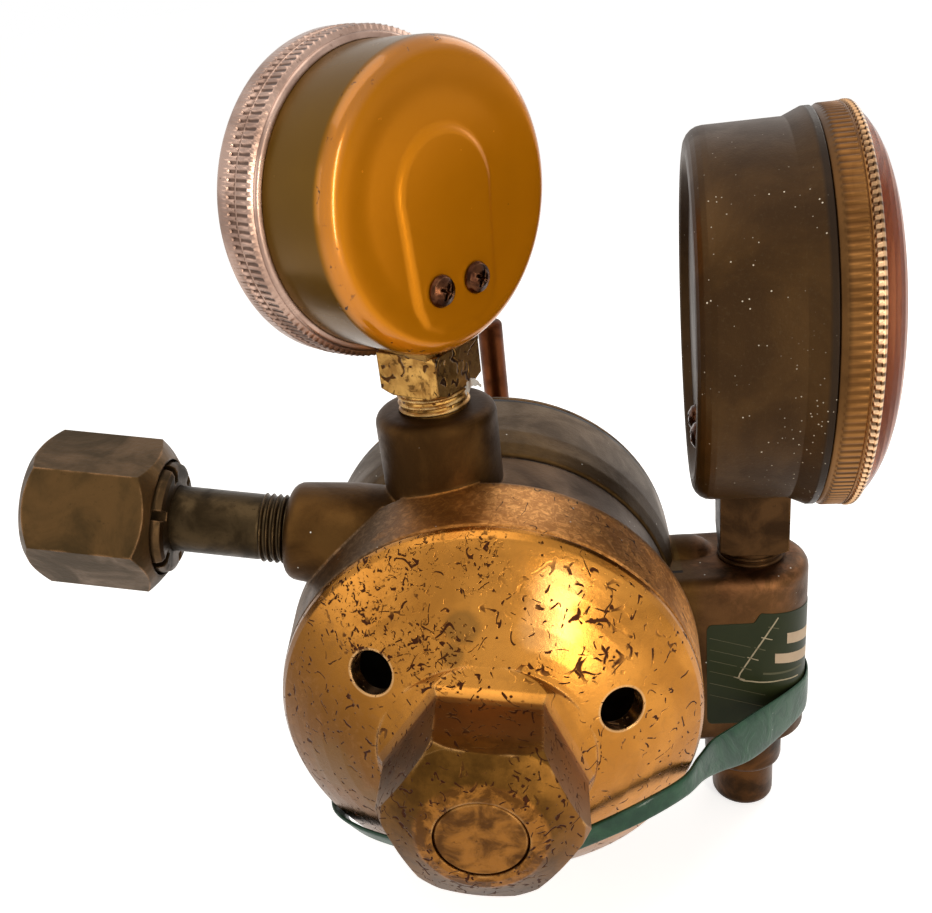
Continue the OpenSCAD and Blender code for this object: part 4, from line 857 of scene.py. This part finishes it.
# place along the stages, direction that the flat side faces, width and thickness, in millimetres
STRAP_ROUTE = [round_lobe(degrees, 10.2) for degrees in (0, -20, -40)] + [
    (61.4, 24.9, -25.8, 0.7, -0.7, 0.1, 10.4, 0.9), (52.7, 15.1, -23.6, 0.6, -0.7, 0.4, 8.8, 1.2),
    (46.1, 7.2, -20.2, 0.5, -0.6, 0.5, 6.8, 1.4), (41.8, 0, -17.2, 0.75, -0.6, 0.3, 5.2, 1.4),
    (37.4, -6.9, -15.9, 0.6, -0.8, 0.1, 4.6, 1.4), (29.2, -12, -16.9, 0.3, -0.9, 0.2, 4.2, 1.4),
    (19.6, -14.4, -20.2, 0.2, -0.96, 0.1, 4.2, 1.4), (9.5, -15.2, -24.4, 0.1, -0.97, -0.2, 4.6, 1.2),
    (-1, -14.8, -26.6, 0, -0.9, -0.4, 4.8, 1.1), (-11, -13.6, -26.2, -0.15, -0.9, -0.4, 4.8, 1.1),
    (-20.8, -11.1, -25.4, -0.3, -0.85, -0.4, 4.8, 1), (-29.4, -7, -25.5, -0.45, -0.75, -0.45, 4.6, 1),
    (-35, -0.8, -26.4, -0.75, -0.35, -0.6, 4.8, 0.9), (-34.8, 8, -28.6, -0.76, 0, -0.64, 6, 0.9),
    (-28.6, 18, -34.6, -0.62, 0, -0.78, 7, 0.9), (-15.6, 27, -41.4, -0.34, 0, -0.94, 7, 0.9),
    (0, 36, -44, 0, 0, -1, 7, 0.9), (15.6, 44, -42, 0.34, 0, -0.94, 7, 0.9),
    (29.8, 52, -38.4, 0.5, 0.3, -0.8, 6.4, 0.9), (43.4, 56.4, -30.4, 0.2, 0.95, -0.2, 7, 0.9),
] + [round_lobe(degrees, 9.6) for degrees in (80, 60, 40, 20)]


def smooth_value(p, i, t):
    """A smooth curve through the closed list p, at t between its places i and i + 1."""
    a, b, c, d = (p[k % len(p)] for k in range(i - 1, i + 3))
    return 0.5 * (2 * b + (c - a) * t + (2 * a - 5 * b + 4 * c - d) * t * t + (3 * b - a - 3 * c + d) * t ** 3)


def vinyl_strap():
    """The strap, held all the way round: flat on the lobe, folded narrow where it crosses the dome."""
    steps, around, full_width, fold_span = 10, 24, 7.5 * MM, 4 * MM
    places, sides = ([Vector(row[k:k + 3]) for row in STRAP_ROUTE] for k in (0, 3))
    widths, depths = ([row[k] for row in STRAP_ROUTE] for k in (6, 7))
    chance = random.Random(7)
    wave = [chance.uniform(-1, 1) for _ in range(len(STRAP_ROUTE) * 2)]
    path, frames, rings = [], [], []
    for s in range(len(STRAP_ROUTE) * steps):
        i, t = divmod(s, steps)
        t /= steps
        ahead = (smooth_value(places, i, t + 0.01) - smooth_value(places, i, t - 0.01)).normalized()
        out = ahead.cross(smooth_value(sides, i, t).cross(ahead)).normalized()
        path.append(at(*smooth_value(places, i, t)))
        frames.append((ahead.cross(out), out))
        width, depth = smooth_value(widths, i, t) * MM, smooth_value(depths, i, t) * MM
        fold = 0.25 * max(0, (full_width - width) / fold_span)
        ring = []
        for k in range(around):
            b = 2 * pi * k / around
            u = 0.5 * width * copysign(abs(cos(b)) ** 0.55, cos(b))
            v = 0.5 * depth * copysign(abs(sin(b)) ** 0.7, sin(b))
            lengthwise = 1 - fold * (1 - (2 * u / width) ** 2) if v > 0 else 1
            ripple = 1 + 0.1 * smooth_value(wave, 2 * i, t) * sin(3 * b)
            ring.append((u, v * lengthwise * min(1, ripple)))
        rings.append(ring)
    strap = sweep("vinyl_strap", path, frames, rings, M["strap"], closed=True, smooth=70)
    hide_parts("green_strap")


vinyl_strap()


# ---- label

LOBE_R_MM = 12.2
LABEL_LEFT, LABEL_CORNER, LABEL_RULE_LEFT = -11.4, 1.3, -10.8
SAG = 0.17


def on_lobe(u, z, lift):
    """A point on the web's flat front for negative u, and round the lobe for positive u."""
    if u <= 0:
        return at(LOBE_X_MM + u, LOBE_Y_MM - LOBE_R_MM - lift, z)
    a, r = u / LOBE_R_MM, LOBE_R_MM + lift
    return at(LOBE_X_MM + r * sin(a), LOBE_Y_MM - r * cos(a), z)


def patch(name, u0, u1, low, high, lift, thick, material, columns):
    """A thin plate wrapped on the lobe between two heights, each a function of u."""
    bevel = 0.12
    points = []
    for i in range(columns + 1):
        u = u0 + (u1 - u0) * i / columns
        for h, depth in ((low(u), lift), (low(u) + bevel, lift + thick), (high(u) - bevel, lift + thick),
                         (high(u), lift)):
            points.append(on_lobe(u, h, depth))
    faces = grid_faces(columns + 1, 4) + [(0, 1, 2, 3), tuple(columns * 4 + k for k in (3, 2, 1, 0))]
    mesh_object(name, points, faces, material, 35)


def stroke(name, places, width, material):
    """A printed line through (u, z) places, in pieces of a millimetre at most."""
    lift = 0.15
    fine = [places[0]]
    for (u0, z0), (u1, z1) in zip(places, places[1:]):
        parts = max(1, ceil(hypot(u1 - u0, z1 - z0)))
        fine += [(u0 + (u1 - u0) * n / parts, z0 + (z1 - z0) * n / parts) for n in range(1, parts + 1)]
    points = []
    for i, (u, z) in enumerate(fine):
        u1, z1 = fine[min(i + 1, len(fine) - 1)]
        u0, z0 = fine[max(i - 1, 0)]
        du, dz = u1 - u0, z1 - z0
        size = hypot(du, dz)
        for side in (-1, 1):
            points.append(on_lobe(u - side * dz / size * width / 2, z + side * du / size * width / 2, lift))
    mesh_object(name, points, grid_faces(len(fine), 2), material, 35)


def corner_cut(u):
    """How far the label's round left corners cut into its height at u."""
    d = max(0, LABEL_CORNER - (u - LABEL_LEFT))
    return LABEL_CORNER - sqrt(LABEL_CORNER ** 2 - d ** 2)


def label_low(u):
    return -29.5 - SAG * max(0, u) + corner_cut(u)


def label_high(u):
    """The upper edge steps up where the flat front meets the lobe."""
    return -2.0 + 2.5 * ease((u + 1.6) / 1.9) - SAG * max(0, u) - corner_cut(u)


def sloped(u0, z0, slope):
    return lambda u: z0 + slope * (u - u0)


patch("label_plate", LABEL_LEFT, 25, label_low, label_high, 0.02, 0.1, M["label"], 120)
SLANT = ((3.9, -1.2), (1.9, -4.35), (-0.1, -7.9), (-2.2, -11.7), (-4.2, -15.4), (-4.45, -16.3), (-4.1, -17.0),
         (-3.3, -17.4), (0.1, -18.0), (4.9, -18.4), (10.4, -19.5))
stroke("label_slant", SLANT, 0.34, M["label_ink"])
for k, (z, end) in enumerate(((-5.4, -2.0), (-8.5, -3.2), (-11.4, -4.9), (-14.4, -4.9), (-17.7, 1.4), (-21.0, 4.0))):
    reach = end - LABEL_RULE_LEFT
    stroke(f"label_rule_{k}", [(LABEL_RULE_LEFT + reach * n / 8, z - 0.33 * reach * n / 8) for n in range(9)],
           0.16, M["label_faint"])
for k in range(6):
    u, z = 2.2 - 1.45 * k, -3.2 - 2.6 * k
    stroke(f"label_rung_{k}", [(u - 0.5 + 0.6 * n, z - 0.24 * n) for n in range(5)], 0.24,
           M["label_ink" if k % 2 else "label_faint"])
for k, (u0, u1, z0, depth) in enumerate(((6.3, 15.5, -6.1, 2.8), (3.4, 15, -10.7, 2.6))):
    patch(f"label_box_{k}", u0, u1, sloped(u0, z0 - depth, -0.3), sloped(u0, z0, -0.28), 0.12, 0.03,
          M["label_box"], 16)
stroke("label_caption", [(0.8 + n, -15.7 - 0.15 * n) for n in range(12)], 0.55, M["label_faint"])


# ---- dials

def dial_angle(share):
    """The angle of a share of the scale: from the lower left, clockwise over 270 degrees."""
    return radians(225 - 270 * share)


def dial_number(name, text, place, size, radius, angle, height):
    """A number as a thin mesh on the dial."""
    curve = bpy.data.curves.new(name, "FONT")
    curve.body = text
    curve.size = size * MM
    curve.align_x = "CENTER"
    curve.align_y = "CENTER"
    curve.extrude = 0.01 * MM
    holder = link(bpy.data.objects.new(name, curve))
    holder.matrix_world = place @ Matrix.Translation(polar(radius, angle, height) * MM)
    bpy.context.view_layer.update()
    shape = bpy.data.meshes.new_from_object(holder)
    shape.transform(holder.matrix_world)
    shape.materials.clear()
    shape.materials.append(M["ink"])
    bpy.data.objects.remove(holder)
    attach(link(bpy.data.objects.new(name, shape)), "regulator")


def dial_print(name, place, face_mm, radius, numbers):
    """Ticks, a scale arc and plain numbers on a dial."""
    points, faces = [], []
    divisions, arc_steps = 50, 120
    tick_end, arc_end, ink_height, number_height = 0.95, 0.962, face_mm + 0.03, face_mm + 0.04

    def bar(share, inner, outer, width):
        angle = dial_angle(share)
        d, n = polar(1, angle), Vector((-sin(angle), cos(angle), 0))
        first = len(points)
        for reach, side in ((inner, -1), (outer, -1), (outer, 1), (inner, 1)):
            spot = d * reach * radius + n * side * width * radius / 2 + Vector((0, 0, ink_height))
            points.append(place @ (spot * MM))
        faces.append((first, first + 1, first + 2, first + 3))

    for k in range(divisions + 1):
        tick_start = 0.86 if k % 10 == 0 else 0.89 if k % 5 == 0 else 0.915
        bar(k / divisions, tick_start, tick_end, 0.009 if k % 10 else 0.018)
    for k in range(arc_steps):
        bar((k + 0.5) / arc_steps, tick_end, arc_end, tick_end * 0.0398)
    mesh_object(name + "_scale", points, faces, M["ink"], 35)
    for k, text in enumerate(numbers):
        dial_number(f"{name}_number_{k}", text, place, radius * 0.17, radius * 0.7,
                    dial_angle(k / (len(numbers) - 1)), number_height)


dial_print("cylinder_dial", HIGH, 9.8, 25.2, [str(1000 * k) for k in range(5)])
dial_print("delivery_dial", LOW, 9.0, 34.6, [str(10 * k) for k in range(7)])


# ---- thread tape

def tape_tail():
    """A frayed end of thread tape that sticks out beside the cylinder gauge's stem."""
    pieces, half_thick = 14, 0.05 * MM
    chance = random.Random(3)
    path, frames, rings = [], [], []
    for i in range(pieces):
        t = i / (pieces - 1)
        height = 60.3 + 1.6 * sin(2.6 * t) + 0.3 * chance.uniform(-1, 1)
        path.append(at(BOSS[0] + 6.6 + 3.4 * t, BOSS[1] - 2.2 - 0.8 * t, height))
        lean = 0.5 * sin(4 * t)
        frames.append((Vector((0, sin(lean), cos(lean))), Vector((0.3, cos(lean), -sin(lean)))))
        w = (1.3 - 0.9 * t) * MM * chance.uniform(0.75, 1.15)
        rings.append([(-w, -half_thick), (w, -half_thick), (w, half_thick), (-w, half_thick)])
    sweep("thread_tape_tail", path, frames, rings, M["tape"], smooth=60)


tape_tail()


# ---- stage and camera

WHITE = (1, 1, 1, 1)


def soft_light(name, place, target, width, power, colour, height=None):
    data = bpy.data.lights.new(name, "AREA")
    data.shape = "RECTANGLE"
    data.size = width
    data.size_y = height or width
    data.energy = power
    data.color = colour
    lamp = link(bpy.data.objects.new(name, data))
    lamp.location = place
    lamp.rotation_euler = (target - place).to_track_quat("-Z", "Y").to_euler()


def white_for_rays(tree, output_socket, lit, white):
    """Shows white to camera, glossy and transmitted rays, and the lit shader to the rest."""
    rays = tree.nodes.new("ShaderNodeLightPath").outputs
    chosen = rays["Is Camera Ray"]
    for kind in ("Is Glossy Ray", "Is Transmission Ray"):
        either = tree.nodes.new("ShaderNodeMath")
        either.operation = "MAXIMUM"
        tree.links.new(chosen, either.inputs[0])
        tree.links.new(rays[kind], either.inputs[1])
        chosen = either.outputs[0]
    mix = tree.nodes.new("ShaderNodeMixShader")
    for k, source in enumerate((chosen, lit, white)):
        tree.links.new(source, mix.inputs[k])
    tree.links.new(mix.outputs[0], output_socket)


def set_inputs(node, **values):
    for key, value in values.items():
        node.inputs[key.replace("_", " ")].default_value = value
    return node


def build_world():
    world = bpy.data.worlds.new("studio")
    bpy.context.scene.world = world
    world.use_nodes = True
    tree = world.node_tree
    lit = set_inputs(tree.nodes["Background"], Color=(1.0, 0.97, 0.93, 1), Strength=0.35)
    white = set_inputs(tree.nodes.new("ShaderNodeBackground"), Color=WHITE, Strength=1)
    white_for_rays(tree, tree.nodes["World Output"].inputs["Surface"], lit.outputs[0], white.outputs[0])


def build_floor(height):
    """A wide pale floor that adds a little light of its own where a ray sees it."""
    side = 30
    mesh = bpy.data.meshes.new("floor")
    corners = [(x * side, y * side, height) for x, y in ((-1, -1), (1, -1), (1, 1), (-1, 1))]
    mesh.from_pydata(corners, [], [(0, 1, 2, 3)])
    floor = link(bpy.data.objects.new("floor", mesh))
    material = bpy.data.materials.new("pale_floor")
    material.use_nodes = True
    tree = material.node_tree
    paper = set_inputs(tree.nodes["Principled BSDF"], Base_Color=(0.92, 0.92, 0.92, 1), Roughness=0.9,
                       Specular_IOR_Level=0.0)
    glow = set_inputs(tree.nodes.new("ShaderNodeEmission"), Color=WHITE, Strength=0.7)
    add = tree.nodes.new("ShaderNodeAddShader")
    tree.links.new(paper.outputs[0], add.inputs[0])
    tree.links.new(glow.outputs[0], add.inputs[1])
    white_for_rays(tree, tree.nodes["Material Output"].inputs["Surface"], paper.outputs[0], add.outputs[0])
    mesh.materials.append(material)


def build_camera():
    """The photograph's view: a close camera, looking down at the preset bonnet and rolled a little."""
    focal_px, width_px, height_px = 1051.78, 932, 913
    centre_px = (396.3, 496.52)
    sensor_mm = 36
    pitch, yaw, roll = radians(26.25), radians(-10.53), radians(-8.7)
    forward = Vector((sin(yaw) * cos(pitch), cos(yaw) * cos(pitch), -sin(pitch)))
    level = Vector((cos(yaw), -sin(yaw), 0))
    over = level.cross(forward)
    right = cos(roll) * level + sin(roll) * over
    up = -sin(roll) * level + cos(roll) * over
    data = bpy.data.cameras.new("photo_camera")
    data.sensor_fit = "HORIZONTAL"
    data.sensor_width = sensor_mm
    data.lens = focal_px / width_px * sensor_mm
    data.shift_x = (width_px / 2 - centre_px[0]) / width_px
    data.shift_y = (centre_px[1] - height_px / 2) / width_px
    data.clip_start = 0.005
    camera = link(bpy.data.objects.new("photo_camera", data))
    turn = Matrix((right, up, -forward)).transposed().to_4x4()
    turn.translation = at(19.52, -170.94, 135.15)
    camera.matrix_world = turn
    bpy.context.scene.camera = camera


FLOOR_GAP = 0.0005
AIM, WARM = at(0, 20, 20), (1.0, 0.96, 0.9)
build_world()
build_floor(cad_box[0][2] - FLOOR_GAP)
build_camera()
soft_light("key", at(378, -585, 8), at(10, 0, 10), 0.09, 4.0, (1.0, 0.93, 0.8), 0.9)
soft_light("overhead", at(-60, -40, 620), AIM, 0.5, 1.2, WARM)
soft_light("left_fill", at(-560, -300, 260), AIM, 0.4, 0.6, WARM)
soft_light("rear_rim", at(330, 420, 300), AIM, 0.35, 0.7, WARM)

bpy.context.scene.view_settings.view_transform = "Standard"
